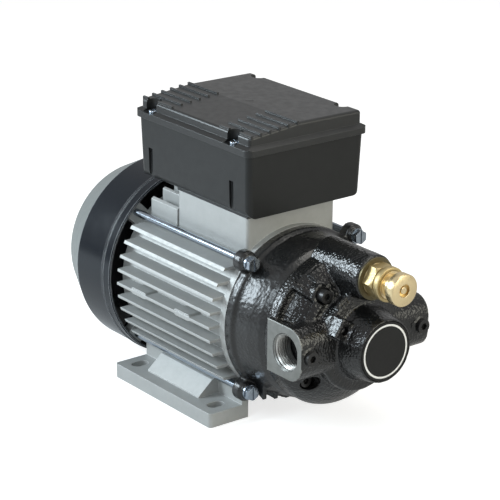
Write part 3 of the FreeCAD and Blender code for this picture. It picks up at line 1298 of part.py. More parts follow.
def box_base():
    """Terminal box base with foot, lid posts, gland hole and lead opening."""
    outer = box_shell(0, BOX_Z0)
    pad = box(PEDESTAL_X0, PEDESTAL_X1, -PEDESTAL_HALF_Y, PEDESTAL_HALF_Y, BASE_GASKET_Z1, BOX_FLOOR_Z)
    wall_x1 = BOX_X0 + BOX_WALL
    seat_z = BOX_FLOOR_Z + BASE_SCREW_SEAT
    posts = [rod_x(BOX_X0, wall_x1, GLAND_SEAT_R, GLAND_Y, GLAND_Z)]
    for x, y in lid_screw_places():
        posts.append(rod_z(BOX_TOP_Z - LID_POST_LENGTH, BOX_TOP_Z, LID_POST_R, x, y).common(outer))
    for x, y in base_screw_places():
        posts.append(rod_z(BOX_Z0, seat_z, BASE_SCREW_HEAD_R + 1.5, x, y))
    solid = fused([outer.cut(box_shell(BOX_WALL, BOX_FLOOR_Z)), pad] + posts)
    slot_y = BOX_HALF_Y - BOX_TAPER - BOX_SLOT_DEPTH
    half = BOX_SLOT_WIDTH / 2
    for x in LID_SCREW_X:
        for y0, y1 in ((-BOX_HALF_Y, -slot_y), (slot_y, BOX_HALF_Y)):
            solid = solid.cut(box(x - half, x + half, y0, y1, BOX_Z0, BOX_SLOT_TOP_Z))
    solid = solid.cut(box(*LEAD_WINDOW_X, *LEAD_WINDOW_Y, BASE_GASKET_Z1, BOX_FLOOR_Z))
    for x, y in lid_screw_places():
        solid = solid.cut(rod_z(BOX_TOP_Z - LID_SCREW_LENGTH, BOX_TOP_Z, LID_SCREW_R, x, y))
    for x, y in base_screw_places():
        solid = solid.cut(rod_z(BASE_GASKET_Z1, seat_z, BASE_SCREW_R + SCREW_CLEARANCE, x, y))
    solid = solid.cut(rod_x(wall_x1, wall_x1 + BOX_TAPER, GLAND_SEAT_R, GLAND_Y, GLAND_Z))
    return solid.cut(rod_x(BOX_X0, wall_x1, GLAND_THREAD_R, GLAND_Y, GLAND_Z))


def lid_seat(inset):
    """Layer as thick as the lid gasket, with the outline of the box drawn in by an inset."""
    half_y = BOX_HALF_Y - inset
    layer = box(BOX_X0 + inset, BOX_X1 - inset, -half_y, half_y, BOX_TOP_Z, LID_GASKET_Z1)
    return rounded(layer, BOX_CORNER_R - inset, lambda e: runs_along(e, Z_AXIS))


def lid_gasket():
    """Gasket ring under the lid, with a tab round each screw."""
    tabs = [rod_z(BOX_TOP_Z, LID_GASKET_Z1, LID_POST_R, x, y) for x, y in lid_screw_places()]
    ring = fused([lid_seat(0).cut(lid_seat(BOX_WALL))] + [tab.common(lid_seat(0)) for tab in tabs])
    for x, y in lid_screw_places():
        ring = ring.cut(rod_z(BOX_TOP_Z, LID_GASKET_Z1, LID_SCREW_R + SCREW_CLEARANCE, x, y))
    return ring


def lid_form(inset, z0):
    """Raised lid form: near half slopes up to a hip, far half nearly flat."""
    near = -LID_HALF_Y + inset
    far = LID_HALF_Y - inset
    return prism_x([(near, z0), (near, LID_NEAR_Z - inset), (LID_HIP_Y, LID_HIP_Z - inset),
                    (far, LID_FAR_Z - inset), (far, z0)], LID_X0 + inset, LID_X1 - inset)


def lid_top(y):
    """Height of the sloping near half of the lid at y."""
    share = (y + LID_HALF_Y) / (LID_HIP_Y + LID_HALF_Y)
    return LID_NEAR_Z + share * (LID_HIP_Z - LID_NEAR_Z)


def lid_ribs():
    """Thin raised grip ribs at both ends of the near half."""
    ribs = []
    half = LID_RIB_WIDTH / 2
    for k in range(LID_RIB_COUNT):
        y = -LID_HALF_Y + LID_RIB_INSET + k * LID_RIB_PITCH
        z1 = lid_top(min(y, LID_HIP_Y)) + LID_RIB_HEIGHT
        z0 = z1 - LID_WALL
        ribs.append(box(LID_X0, LID_X0 + LID_RIB_LENGTH, y - half, y + half, z0, z1))
        ribs.append(box(LID_X1 - LID_RIB_LENGTH, LID_X1, y - half, y + half, z0, z1))
    return ribs


def lid_rim():
    """Flat edge of the lid: upright rim and a ledge that slopes up to the raised form."""
    rim = box(RIM_X0, RIM_X1, -RIM_HALF_Y, RIM_HALF_Y, BOX_TOP_Z, LID_LEDGE_Z)
    rim = rounded(rim, LID_CORNER_R, lambda e: runs_along(e, Z_AXIS))
    side = prism_x([(-RIM_HALF_Y, BOX_TOP_Z), (RIM_HALF_Y, BOX_TOP_Z), (RIM_HALF_Y, LID_RIM_Z),
                    (LID_HALF_Y, LID_LEDGE_Z), (-LID_HALF_Y, LID_LEDGE_Z), (-RIM_HALF_Y, LID_RIM_Z)],
                   RIM_X0, RIM_X1)
    end = prism_y([(RIM_X0, BOX_TOP_Z), (RIM_X1, BOX_TOP_Z), (RIM_X1, LID_RIM_Z), (LID_X1, LID_LEDGE_Z),
                   (LID_X0, LID_LEDGE_Z), (RIM_X0, LID_RIM_Z)], -RIM_HALF_Y, RIM_HALF_Y)
    return rim.common(side).common(end).cut(lid_seat(0))


def lid_notch(x, y, radius):
    """Upright bay round one lid screw, open towards the long side of the lid."""
    y0, y1 = sorted((y, math.copysign(RIM_HALF_Y, y)))
    return fused([rod_z(LID_RIM_Z, LID_HIP_Z, radius, x, y),
                  box(x - radius, x + radius, y0, y1, LID_RIM_Z, LID_HIP_Z)])


def box_lid():
    """Terminal box lid: rim, raised form with grip ribs, and a bay for each screw."""
    raised = rounded(lid_form(0, LID_GASKET_Z1), LID_EDGE_R,
                     lambda e: e.BoundBox.ZMin > LID_GASKET_Z1 or runs_along(e, Z_AXIS))
    solid = fused([lid_rim(), raised] + lid_ribs())
    hollow = lid_form(LID_INNER_STEP, LID_GASKET_Z1)
    for x, y in lid_screw_places():
        hollow = hollow.cut(rod_z(LID_GASKET_Z1, LID_HIP_Z, LID_NOTCH_R + LID_WALL, x, y))
    solid = solid.cut(hollow)
    for x, y in lid_screw_places():
        solid = solid.cut(lid_notch(x, y, LID_NOTCH_R))
        solid = solid.cut(rod_z(LID_GASKET_Z1, LID_RIM_Z, LID_SCREW_R + SCREW_CLEARANCE, x, y))
    return solid


def lid_screws():
    """Slotted pan-head screws in the bays of the lid."""
    top = LID_RIM_Z + LID_SCREW_HEAD_HEIGHT
    screws = []
    for x, y in lid_screw_places():
        head = rod_z(LID_RIM_Z, top, LID_SCREW_HEAD_R, x, y)
        head = rounded(head, LID_SCREW_HEAD_HEIGHT / 2,
                       lambda e: e.Closed and e.BoundBox.ZMin > LID_RIM_Z + 1)
        slot = box(x - LID_SCREW_HEAD_R, x + LID_SCREW_HEAD_R, y - SCREW_SLOT / 2, y + SCREW_SLOT / 2,
                   top - SCREW_SLOT, top)
        shank = rod_z(BOX_TOP_Z - LID_SCREW_LENGTH, LID_RIM_Z, LID_SCREW_R, x, y)
        screws.append(fused([head, shank]).cut(slot))
    return Part.makeCompound(screws)


def base_screws():
    """Screws that hold the box on the pedestal."""
    screws = []
    seat = BOX_FLOOR_Z + BASE_SCREW_SEAT
    for x, y in base_screw_places():
        head = rod_z(seat, seat + BASE_SCREW_HEAD_HEIGHT, BASE_SCREW_HEAD_R, x, y)
        shank = rod_z(BOX_Z0 - BASE_SCREW_LENGTH, seat, BASE_SCREW_R, x, y)
        screws.append(fused([head, shank]))
    return Part.makeCompound(screws)


def terminal_places():
    step = TERMINAL_LENGTH / TERMINAL_POSTS
    xs = [TERMINAL_X0 + step * (k + 0.5) for k in range(TERMINAL_POSTS)]
    ys = (TERMINAL_Y - TERMINAL_WIDTH / 4, TERMINAL_Y + TERMINAL_WIDTH / 4)
    return [(x, y) for x in xs for y in ys]


def terminal_block():
    """Insulating block with barriers between the terminal posts."""
    y0 = TERMINAL_Y - TERMINAL_WIDTH / 2
    y1 = TERMINAL_Y + TERMINAL_WIDTH / 2
    z1 = BOX_FLOOR_Z + TERMINAL_HEIGHT
    pieces = [box(TERMINAL_X0, TERMINAL_X0 + TERMINAL_LENGTH, y0, y1, BOX_FLOOR_Z, z1)]
    step = (TERMINAL_LENGTH - BARRIER_THICK) / TERMINAL_POSTS
    for k in range(TERMINAL_POSTS + 1):
        x0 = TERMINAL_X0 + k * step
        pieces.append(box(x0, x0 + BARRIER_THICK, y0, y1, z1 - 1, z1 + BARRIER_HEIGHT))
    solid = fused(pieces)
    for x, y in terminal_places():
        solid = solid.cut(rod_z(z1 - TERMINAL_POST_DEPTH, z1, TERMINAL_POST_R, x, y))
    return solid


def terminal_posts():
    """Threaded posts with their nuts."""
    z1 = BOX_FLOOR_Z + TERMINAL_HEIGHT
    posts = []
    for x, y in terminal_places():
        post = rod_z(z1 - TERMINAL_POST_DEPTH, z1 + TERMINAL_POST_HEIGHT, TERMINAL_POST_R, x, y)
        nut = hexagon_x(0, TERMINAL_NUT_HEIGHT, TERMINAL_NUT_FLATS, 0, 0)
        nut.rotate(vec(0, 0, 0), Y_AXIS, -90)
        nut.translate(vec(x, y, z1))
        posts.append(fused([post, nut]))
    return Part.makeCompound(posts)


def capacitor_z():
    return BOX_FLOOR_Z + CLIP_STRAP_THICK + CAPACITOR_R


def run_capacitor():
    """Round motor capacitor with a stepped end cap."""
    x1 = CAPACITOR_X0 + CAPACITOR_LENGTH
    z = capacitor_z()
    can = rod_x(CAPACITOR_X0, x1, CAPACITOR_R, CAPACITOR_Y, z)
    can = rounded(can, 1.5, lambda e: e.Closed)
    cap = rod_x(x1 - 1, x1 + CAPACITOR_CAP, CAPACITOR_R - 5, CAPACITOR_Y, z)
    return fused([can, cap])


def capacitor_strap():
    """Strap that holds the capacitor on the box floor."""
    x0 = CLIP_STRAP_X
    x1 = x0 + CLIP_STRAP_WIDTH
    z = capacitor_z()
    outer = CAPACITOR_R + CLIP_STRAP_THICK
    band = ring_x(x0, x1, outer, CAPACITOR_R, CAPACITOR_Y, z)
    foot_z1 = BOX_FLOOR_Z + CLIP_STRAP_THICK
    half = CAPACITOR_R - CLIP_STRAP_THICK
    feet = box(x0, x1, CAPACITOR_Y - half, CAPACITOR_Y + half, BOX_FLOOR_Z, foot_z1)
    feet = feet.cut(rod_x(x0, x1, CAPACITOR_R, CAPACITOR_Y, z))
    return fused([band, feet])


def gland_body():
    """Hexagonal cable gland body screwed into the rear wall of the box."""
    x0 = BOX_X0 - GLAND_BODY_LENGTH
    x1 = BOX_X0 + BOX_WALL + GLAND_LOCKNUT_THICK + GLAND_THREAD_END
    hexagon = hexagon_x(BOX_X0 - GLAND_HEX_LENGTH, BOX_X0, GLAND_FLATS, GLAND_Y, GLAND_Z)
    collar = rod_x(x0, BOX_X0, GLAND_COLLAR_R, GLAND_Y, GLAND_Z)
    thread = rod_x(BOX_X0 - 1, x1, GLAND_THREAD_R, GLAND_Y, GLAND_Z)
    bore = rod_x(x0, x1, GLAND_CABLE_R + GLAND_SEAL_WALL, GLAND_Y, GLAND_Z)
    return fused([hexagon, collar, thread]).cut(bore)


def gland_seal():
    """Rubber sleeve inside the gland."""
    bore_r = GLAND_CABLE_R + GLAND_SEAL_WALL
    return ring_x(BOX_X0 - GLAND_BODY_LENGTH, BOX_X0 + 2, bore_r, GLAND_CABLE_R, GLAND_Y, GLAND_Z)


def gland_cap():
    """Domed cap nut that presses the sleeve."""
    x1 = BOX_X0 - GLAND_HEX_LENGTH
    x0 = x1 - GLAND_CAP_LENGTH
    cap = fused([hexagon_x(x1 - GLAND_HEX_LENGTH, x1, GLAND_FLATS - 1, GLAND_Y, GLAND_Z),
                 cone_x(x0, x1, GLAND_CAP_R - 3, GLAND_CAP_R, GLAND_Y, GLAND_Z)])
    cap = cap.cut(rod_x(BOX_X0 - GLAND_BODY_LENGTH, x1, GLAND_COLLAR_R, GLAND_Y, GLAND_Z))
    return cap.cut(rod_x(x0, x1, GLAND_CABLE_R, GLAND_Y, GLAND_Z))


def gland_locknut():
    x0 = BOX_X0 + BOX_WALL
    nut = hexagon_x(x0, x0 + GLAND_LOCKNUT_THICK, GLAND_FLATS, GLAND_Y, GLAND_Z)
    return nut.cut(rod_x(x0, x0 + GLAND_LOCKNUT_THICK, GLAND_THREAD_R, GLAND_Y, GLAND_Z))


def earth_screw():
    """Earth screw with washer on the box floor."""
    z1 = BOX_FLOOR_Z + 1
    washer = rod_z(BOX_FLOOR_Z, z1, EARTH_SCREW_HEAD_R + 1, EARTH_SCREW_X, EARTH_SCREW_Y)
    head = rod_z(z1, z1 + EARTH_SCREW_HEAD, EARTH_SCREW_HEAD_R, EARTH_SCREW_X, EARTH_SCREW_Y)
    return fused([washer, head])


NODES = {
    "motor_frame": motor_frame,
    "rear_shield": rear_shield,
    "stator_core": stator_core,
    "stator_windings": stator_windings,
    "rotor_core": rotor_core,
    "rotor_cage": rotor_cage,
    "motor_shaft": motor_shaft,
    "shaft_key": shaft_key,
    "front_bearing_outer": lambda: bearing_outer_ring(FRONT_BEARING, FRONT_BEARING_X),
    "front_bearing_inner": lambda: bearing_inner_ring(FRONT_BEARING, FRONT_BEARING_X),
    "front_bearing_balls": lambda: bearing_balls(FRONT_BEARING, FRONT_BEARING_X),
    "rear_bearing_outer": lambda: bearing_outer_ring(REAR_BEARING, REAR_BEARING_X0),
    "rear_bearing_inner": lambda: bearing_inner_ring(REAR_BEARING, REAR_BEARING_X0),
    "rear_bearing_balls": lambda: bearing_balls(REAR_BEARING, REAR_BEARING_X0),
    "wave_spring": wave_spring,
    "fan": fan,
    "fan_clip": fan_clip,
    "fan_cover_ring": fan_cover_ring,
    "fan_cover_dome": fan_cover_dome,
    "fan_cover_screws": fan_cover_screws,
    "tie_rods": tie_rods,
    "tie_rod_washers": tie_rod_washers,
    "base_gasket": base_gasket,
    "box_base": box_base,
    "base_screws": base_screws,
    "terminal_block": terminal_block,
    "terminal_posts": terminal_posts,
    "run_capacitor": run_capacitor,
    "capacitor_strap": capacitor_strap,
    "earth_screw": earth_screw,
    "gland_body": gland_body,
    "gland_seal": gland_seal,
    "gland_cap": gland_cap,
    "gland_locknut": gland_locknut,
    "lid_gasket": lid_gasket,
    "box_lid": box_lid,
    "lid_screws": lid_screws,
    "bell_housing": bell_housing,
    "shaft_seal": shaft_seal,
    "port_plate": port_plate,
    "plate_dowels": plate_dowels,
    "inner_rotor": inner_rotor,
    "outer_rotor": outer_rotor,
    "pump_body": pump_body,
    "body_o_ring": body_o_ring,
    "front_bush": front_bush,
    "body_screws": body_screws,
    "port_plugs": port_plugs,
    "front_disc": front_disc,
    "front_disc_ring": front_disc_ring,
    "valve_nut": valve_nut,
    "valve_washer": valve_washer,
    "valve_poppet": valve_poppet,
    "valve_spring": valve_spring,
    "spring_seat": spring_seat,
    "adjusting_screw": adjusting_screw,
}

os.makedirs("parts", exist_ok=True)
for node, make in NODES.items():
    shape = make()
    if not shape.isValid():
        print("not valid:", node)
    print(f"{node:22s} {len(shape.Solids)} solids {shape.Volume / 1000:8.2f} cm3")
    shape.exportStep(f"parts/{node}.step")
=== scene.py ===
import logging
import math
from dataclasses import dataclass
from enum import Enum

import bmesh
import bpy
from mathutils import Matrix, Vector


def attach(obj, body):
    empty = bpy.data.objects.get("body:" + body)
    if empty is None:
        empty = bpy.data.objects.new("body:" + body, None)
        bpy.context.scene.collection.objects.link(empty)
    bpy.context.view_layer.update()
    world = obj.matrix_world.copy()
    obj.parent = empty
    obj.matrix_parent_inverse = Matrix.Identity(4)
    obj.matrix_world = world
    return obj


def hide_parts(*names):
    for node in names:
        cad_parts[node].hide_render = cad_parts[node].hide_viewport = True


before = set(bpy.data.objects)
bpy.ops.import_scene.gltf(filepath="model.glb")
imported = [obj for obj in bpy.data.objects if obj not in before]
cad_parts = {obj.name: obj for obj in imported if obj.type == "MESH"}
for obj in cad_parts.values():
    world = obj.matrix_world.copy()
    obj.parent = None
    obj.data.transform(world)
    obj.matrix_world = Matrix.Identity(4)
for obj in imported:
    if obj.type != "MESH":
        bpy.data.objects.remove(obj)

logging.basicConfig(level=logging.INFO, format="%(message)s")
log = logging.getLogger("oil_pump")

Colour = tuple[float, float, float]
Point = tuple[float, float, float]
Pair = tuple[float, float]
Socket = bpy.types.NodeSocket

# Lengths are in millimetres, except where a docstring says metres.
MM = 0.001
SHAFT_Z = 80.0
VALVE_Z = 132.5
PORT_X = 132.0
PORT_Z = 81.0
ROUND_STEPS = 96
TURNS = [2 * math.pi * k / ROUND_STEPS for k in range(ROUND_STEPS)]
WELD = 0.001
SHARP_ANGLE = math.radians(38)

HOUSING = "housing"
PAINTED = "black_casting_paint"

# What all finishes share: edge wear and painted edge highlight start and end at these cosines
# between face and edge.
WEAR_AND_HIGHLIGHT_COSINES = (0.985, 0.9)
SMUDGE_SHARE = 0.4
SMUDGE_RANGE = (0.3, 0.7)
COAT_ROUGHNESS = 0.08
PEEL_CELLS = 0.8
PEEL_LUMPS = 2.2
BAND_STRETCH = 0.8
BRUSH_STRETCH = 0.06


class Relief(Enum):
    """Kinds of fine surface relief."""

    GRAIN = "blasted grain"
    PEEL = "thick paint over rough iron"
    MOULDED = "fine moulded texture"
    TURNED = "lathe rings about a line along X"
    BRUSHED = "fine lines along X"
    LAYERED = "thin sheets stacked along X"


class Graph:
    """Adds and links nodes of one node tree."""

    def __init__(self, tree: bpy.types.NodeTree) -> None:
        self.tree = tree

    def add(self, kind: str, **settings) -> bpy.types.Node:
        """Add a node and set its properties."""
        node = self.tree.nodes.new(kind)
        for name, value in settings.items():
            setattr(node, name, value)
        return node

    def feed(self, node: bpy.types.Node, **values) -> bpy.types.Node:
        """Set or link input sockets, named with underscores for blanks or i and a number."""
        for name, value in values.items():
            numbered = name[0] == "i" and name[1:].isdigit()
            socket = node.inputs[int(name[1:]) if numbered else name.replace("_", " ")]
            if isinstance(value, Socket):
                self.tree.links.new(value, socket)
            else:
                socket.default_value = value
        return node

    def math(self, operation: str, a: Socket | float, b: Socket | float = 0.0) -> Socket:
        """Result socket of a math node."""
        node = self.add("ShaderNodeMath", operation=operation)
        return self.feed(node, i0=a, i1=b).outputs[0]


@dataclass(frozen=True)
class Finish:
    """Procedural surface of one material slot.

    Attributes:
        colour: main colour.
        shade: second colour, in patches.
        patch: size of the patches.
        rough: lowest and highest roughness.
        relief: kind of fine relief.
        pitch: size of the relief's features.
        depth: height of the relief.
        metallic: share of bare metal, 0 for paint and plastic.
        coat: share of clear gloss on top.
        shine: specular level, 0.5 for common plastic and paint.
        edge: apparent rounding of edges.
        edge_wear_and_highlight: colour that edges turn to, partly wear and partly painted
            highlight, or None.
        line_z: height of the line that turned rings run about.
    """

    colour: Colour
    shade: Colour
    patch: float
    rough: Pair
    relief: Relief
    pitch: float
    depth: float
    metallic: float = 0.0
    coat: float = 0.0
    shine: float = 0.5
    edge: float = 0.3
    edge_wear_and_highlight: Colour | None = None
    line_z: float = SHAFT_Z

    def noise(self, graph: Graph, place: Socket, size: float, detail: float) -> Socket:
        """Noise whose features are about size millimetres."""
        node = graph.add("ShaderNodeTexNoise")
        graph.feed(node, Vector=place, Scale=1 / (size * MM), Detail=detail)
        return node.outputs["Fac"]

    def waves(self, graph: Graph, place: Socket, kind: str, stretch: float = 1.0) -> Socket:
        """Fine even lines: bands along X, or rings about the X line."""
        node = graph.add("ShaderNodeTexWave", wave_type=kind, rings_direction="X",
                         bands_direction="X")
        # A wave texture of scale 1 repeats every pi / 10 metres.
        scale = math.pi / (10 * self.pitch * MM) * stretch
        graph.feed(node, Vector=place, Scale=scale, Distortion=1.5, Detail=2.0, Detail_Scale=2.0)
        return node.outputs["Fac"]

    def height(self, graph: Graph, place: Socket) -> Socket:
        """Relief height from 0 to 1."""
        if self.relief is Relief.PEEL:
            cells = graph.add("ShaderNodeTexVoronoi", feature="SMOOTH_F1")
            graph.feed(cells, Vector=place, Scale=1 / (self.pitch * MM), Smoothness=0.6)
            lumps = self.noise(graph, place, PEEL_LUMPS * self.pitch, detail=3.0)
            return graph.math("ADD", graph.math("MULTIPLY", cells.outputs["Distance"], PEEL_CELLS),
                              lumps)
        if self.relief is Relief.TURNED:
            moved = graph.add("ShaderNodeMapping")
            graph.feed(moved, Vector=place, Location=(0.0, 0.0, -self.line_z * MM))
            rings = self.waves(graph, moved.outputs[0], "RINGS")
            bands = self.waves(graph, moved.outputs[0], "BANDS", BAND_STRETCH)
            return graph.math("ADD", rings, bands)
        if self.relief is Relief.BRUSHED:
            drawn = graph.add("ShaderNodeMapping")
            graph.feed(drawn, Vector=place, Scale=(BRUSH_STRETCH, 1.0, 1.0))
            return self.noise(graph, drawn.outputs[0], self.pitch, detail=3.0)
        if self.relief is Relief.LAYERED:
            return self.waves(graph, place, "BANDS")
        return self.noise(graph, place, self.pitch,
                          detail=4.0 if self.relief is Relief.GRAIN else 2.0)

    def toned(self, graph: Graph, patches: Socket, rounded: Socket) -> Socket:
        """Colour in patches of its two tones, lightened at edges where the rounded normal turns
        away, as wear and painted edge highlight.

        Args:
            graph: graph of the material.
            patches, rounded: noise of the patches, and normal with rounded edges.
        Returns:
            The colour socket.
        """
        tone = graph.add("ShaderNodeMix", data_type="RGBA")
        graph.feed(tone, i0=patches, i6=(*self.colour, 1.0), i7=(*self.shade, 1.0))
        if self.edge_wear_and_highlight is None:
            return tone.outputs[2]
        # Edges lighten where the rounded normal turns from the true normal: wear, together with a
        # painted edge highlight.
        turn = graph.add("ShaderNodeVectorMath", operation="DOT_PRODUCT")
        graph.feed(turn, i0=rounded, i1=graph.add("ShaderNodeNewGeometry").outputs["Normal"])
        wear_and_highlight = graph.add("ShaderNodeMapRange")
        graph.feed(wear_and_highlight, Value=turn.outputs["Value"], From_Min=WEAR_AND_HIGHLIGHT_COSINES[0],
                   From_Max=WEAR_AND_HIGHLIGHT_COSINES[1])
        edges = graph.add("ShaderNodeMix", data_type="RGBA")
        graph.feed(edges, i0=graph.math("MULTIPLY", wear_and_highlight.outputs[0], patches),
                   i6=tone.outputs[2], i7=(*self.edge_wear_and_highlight, 1.0))
        return edges.outputs[2]

    def material(self, name: str) -> bpy.types.Material:
        """Build the material.

        Args:
            name: record slot or piece that the material is for.
        Returns:
            The new material.
        """
        made = bpy.data.materials.new(name + "_finish")
        made.use_nodes = True
        made.node_tree.nodes.clear()
        graph = Graph(made.node_tree)
        place = graph.add("ShaderNodeTexCoord").outputs["Object"]
        patches = self.noise(graph, place, self.patch, detail=5.0)
        bevel = graph.add("ShaderNodeBevel", samples=4)
        rounded = graph.feed(bevel, Radius=self.edge * MM).outputs[0]
        smudges = self.noise(graph, place, self.patch * SMUDGE_SHARE, detail=4.0)
        gloss = graph.add("ShaderNodeMapRange")
        graph.feed(gloss, Value=smudges, From_Min=SMUDGE_RANGE[0], From_Max=SMUDGE_RANGE[1],
                   To_Min=self.rough[0], To_Max=self.rough[1])
        bump = graph.add("ShaderNodeBump")
        graph.feed(bump, Height=self.height(graph, place), Distance=self.depth * MM,
                   Normal=rounded)
        shader = graph.add("ShaderNodeBsdfPrincipled")
        graph.feed(shader, Metallic=self.metallic, Specular_IOR_Level=self.shine,
                   Coat_Weight=self.coat, Coat_Roughness=COAT_ROUGHNESS,
                   Base_Color=self.toned(graph, patches, rounded), Roughness=gloss.outputs[0],
                   Normal=bump.outputs[0])
        graph.feed(graph.add("ShaderNodeOutputMaterial"), Surface=shader.outputs[0])
        return made


# Finish of each record slot: colour, shade, patch, rough, relief, pitch and depth.
FINISHES: dict[str, Finish] = {
    # Cast aluminium whose edges turn pale: wear, with a painted highlight on the fin tips.
    "cast_aluminium": Finish(
        (0.45, 0.455, 0.445), (0.38, 0.385, 0.375), 9, (0.5, 0.64), Relief.GRAIN, 0.9, 0.07,
        metallic=0.45, edge=0.5, edge_wear_and_highlight=(0.85, 0.86, 0.86)),
    PAINTED: Finish(
        (0.006, 0.0062, 0.0064), (0.010, 0.0102, 0.0104), 16, (0.13, 0.2), Relief.PEEL, 1.8, 0.5,
        coat=0.15, shine=0.45, edge=0.6),
    # Near-black band whose edges turn pale: a painted highlight along the bead, in place of the
    # lamp's reflection.
    "band_plastic": Finish(
        (0.006, 0.0085, 0.0125), (0.008, 0.011, 0.015), 25, (0.16, 0.22), Relief.MOULDED, 1.2,
        0.004, shine=0.24, edge=0.8, edge_wear_and_highlight=(0.8, 0.82, 0.84)),
    "dome_plastic": Finish(
        (0.175, 0.187, 0.183), (0.15, 0.162, 0.158), 20, (0.36, 0.5), Relief.MOULDED, 0.8, 0.02,
        edge=0.5),
    # Black box plastic whose edges turn lighter: wear and painted edge highlight.
    "box_plastic": Finish(
        (0.0105, 0.0112, 0.0112), (0.0145, 0.0152, 0.0152), 14, (0.3, 0.42), Relief.MOULDED, 0.5,
        0.02, shine=0.3, edge=0.6, edge_wear_and_highlight=(0.11, 0.115, 0.12)),
    "brass": Finish(
        (0.87, 0.72, 0.44), (0.74, 0.59, 0.34), 6, (0.26, 0.38), Relief.TURNED, 0.6, 0.008,
        metallic=1.0, edge=0.35, line_z=VALVE_Z),
    "zinc_steel": Finish(
        (0.4, 0.445, 0.5), (0.2, 0.235, 0.28), 2.5, (0.14, 0.28), Relief.GRAIN, 0.6, 0.01,
        metallic=1.0, edge=0.25),
    "black_steel": Finish(
        (0.03, 0.03, 0.032), (0.045, 0.044, 0.043), 3, (0.26, 0.4), Relief.GRAIN, 0.6, 0.02,
        metallic=0.6, edge=0.25, edge_wear_and_highlight=(0.12, 0.12, 0.12)),
    "machined_steel": Finish(
        (0.62, 0.62, 0.62), (0.5, 0.5, 0.51), 5, (0.2, 0.34), Relief.TURNED, 0.5, 0.004,
        metallic=1.0),
    "lamination": Finish(
        (0.26, 0.26, 0.27), (0.36, 0.33, 0.3), 8, (0.4, 0.55), Relief.LAYERED, 0.5, 0.04,
        metallic=0.7),
    "cage_aluminium": Finish(
        (0.7, 0.7, 0.71), (0.6, 0.6, 0.61), 6, (0.35, 0.5), Relief.GRAIN, 1.0, 0.04,
        metallic=0.9),
    "copper": Finish(
        (0.55, 0.2, 0.07), (0.42, 0.15, 0.05), 4, (0.25, 0.4), Relief.LAYERED, 0.9, 0.2,
        metallic=0.7, coat=0.4),
    "bronze": Finish(
        (0.5, 0.34, 0.15), (0.42, 0.28, 0.12), 4, (0.35, 0.5), Relief.GRAIN, 0.4, 0.02,
        metallic=0.9),
    "rubber": Finish(
        (0.02, 0.02, 0.021), (0.035, 0.035, 0.036), 5, (0.55, 0.7), Relief.GRAIN, 0.5, 0.02),
    "fan_plastic": Finish(
        (0.03, 0.03, 0.033), (0.045, 0.045, 0.05), 12, (0.4, 0.55), Relief.MOULDED, 0.6, 0.02),
    "gland_plastic": Finish(
        (0.02, 0.021, 0.023), (0.03, 0.03, 0.034), 6, (0.38, 0.5), Relief.MOULDED, 0.5, 0.02),
    "terminal_plastic": Finish(
        (0.45, 0.36, 0.24), (0.38, 0.3, 0.2), 8, (0.4, 0.5), Relief.MOULDED, 0.5, 0.02),
    "terminal_brass": Finish(
        (0.75, 0.6, 0.3), (0.6, 0.46, 0.22), 2, (0.2, 0.35), Relief.GRAIN, 0.4, 0.01,
        metallic=1.0),
    "capacitor_plastic": Finish(
        (0.72, 0.72, 0.69), (0.64, 0.64, 0.6), 14, (0.3, 0.42), Relief.MOULDED, 0.7, 0.01),
    "disc_black": Finish(
        (0.009, 0.009, 0.009), (0.013, 0.013, 0.0132), 7, (0.42, 0.5), Relief.MOULDED, 0.4,
        0.006, shine=0.25),
    "disc_white": Finish(
        (0.92, 0.92, 0.91), (0.86, 0.86, 0.85), 3, (0.3, 0.4), Relief.MOULDED, 0.4, 0.004),
}
# Finishes of single pieces that look unlike their slot.
# Machined port face whose edges turn pale: a painted highlight along the bevelled rim, with some
# wear.
PORT_FACE = Finish(
    (0.27, 0.275, 0.265), (0.16, 0.165, 0.155), 5, (0.3, 0.42), Relief.BRUSHED, 0.35, 0.012,
    metallic=0.85, edge=0.35, edge_wear_and_highlight=(0.5, 0.5, 0.48))
PORT_THREAD = Finish(
    (0.55, 0.545, 0.52), (0.36, 0.355, 0.34), 3, (0.28, 0.38), Relief.GRAIN, 0.5, 0.005,
    metallic=0.8, edge=0.1)
BELL_PAINT = Finish(
    (0.006, 0.0063, 0.0067), (0.010, 0.0103, 0.0107), 20, (0.25, 0.33), Relief.PEEL, 2.4, 0.26,
    coat=0.05, shine=0.6, edge=0.8)
# Nut brass whose edges turn pale: wear and painted highlight on the hexagon's corners.
NUT_BRASS = Finish(
    (0.62, 0.5, 0.27), (0.4, 0.31, 0.15), 3.0, (0.4, 0.56), Relief.TURNED, 0.9, 0.03,
    metallic=1.0, edge=0.35, edge_wear_and_highlight=(0.95, 0.85, 0.6), line_z=VALVE_Z)
NODE_FINISHES: dict[str, Finish] = {
    "valve_washer": Finish(
        (0.16, 0.135, 0.075), (0.09, 0.075, 0.04), 2.5, (0.36, 0.5), Relief.TURNED, 0.7, 0.02,
        metallic=0.8, edge=0.3, edge_wear_and_highlight=(0.4, 0.35, 0.22), line_z=VALVE_Z),
    # Lid plastic whose edges turn lighter: wear and painted edge highlight.
    "box_lid": Finish(
        (0.0075, 0.0082, 0.0084), (0.0105, 0.0112, 0.0115), 14, (0.28, 0.38), Relief.MOULDED,
        0.5, 0.02, shine=0.55, edge=0.6, edge_wear_and_highlight=(0.06, 0.064, 0.068)),
}
MATERIALS: dict[str, bpy.types.Material] = {}


def finish_of(slot: str) -> bpy.types.Material:
    """Material of a record slot, built once."""
    if slot not in MATERIALS:
        MATERIALS[slot] = FINISHES[slot].material(slot)
    return MATERIALS[slot]


def dress_nodes() -> None:
    """Give every CAD node its own finish, or else that of its record slot."""
    own = {name: finish.material(name) for name, finish in NODE_FINISHES.items()}
    for name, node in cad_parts.items():
        for place in node.material_slots:
            slot = place.material.name.split(".")[0]
            place.material = own.get(name) or finish_of(slot)
    log.info("dressed %d CAD nodes", len(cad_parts))


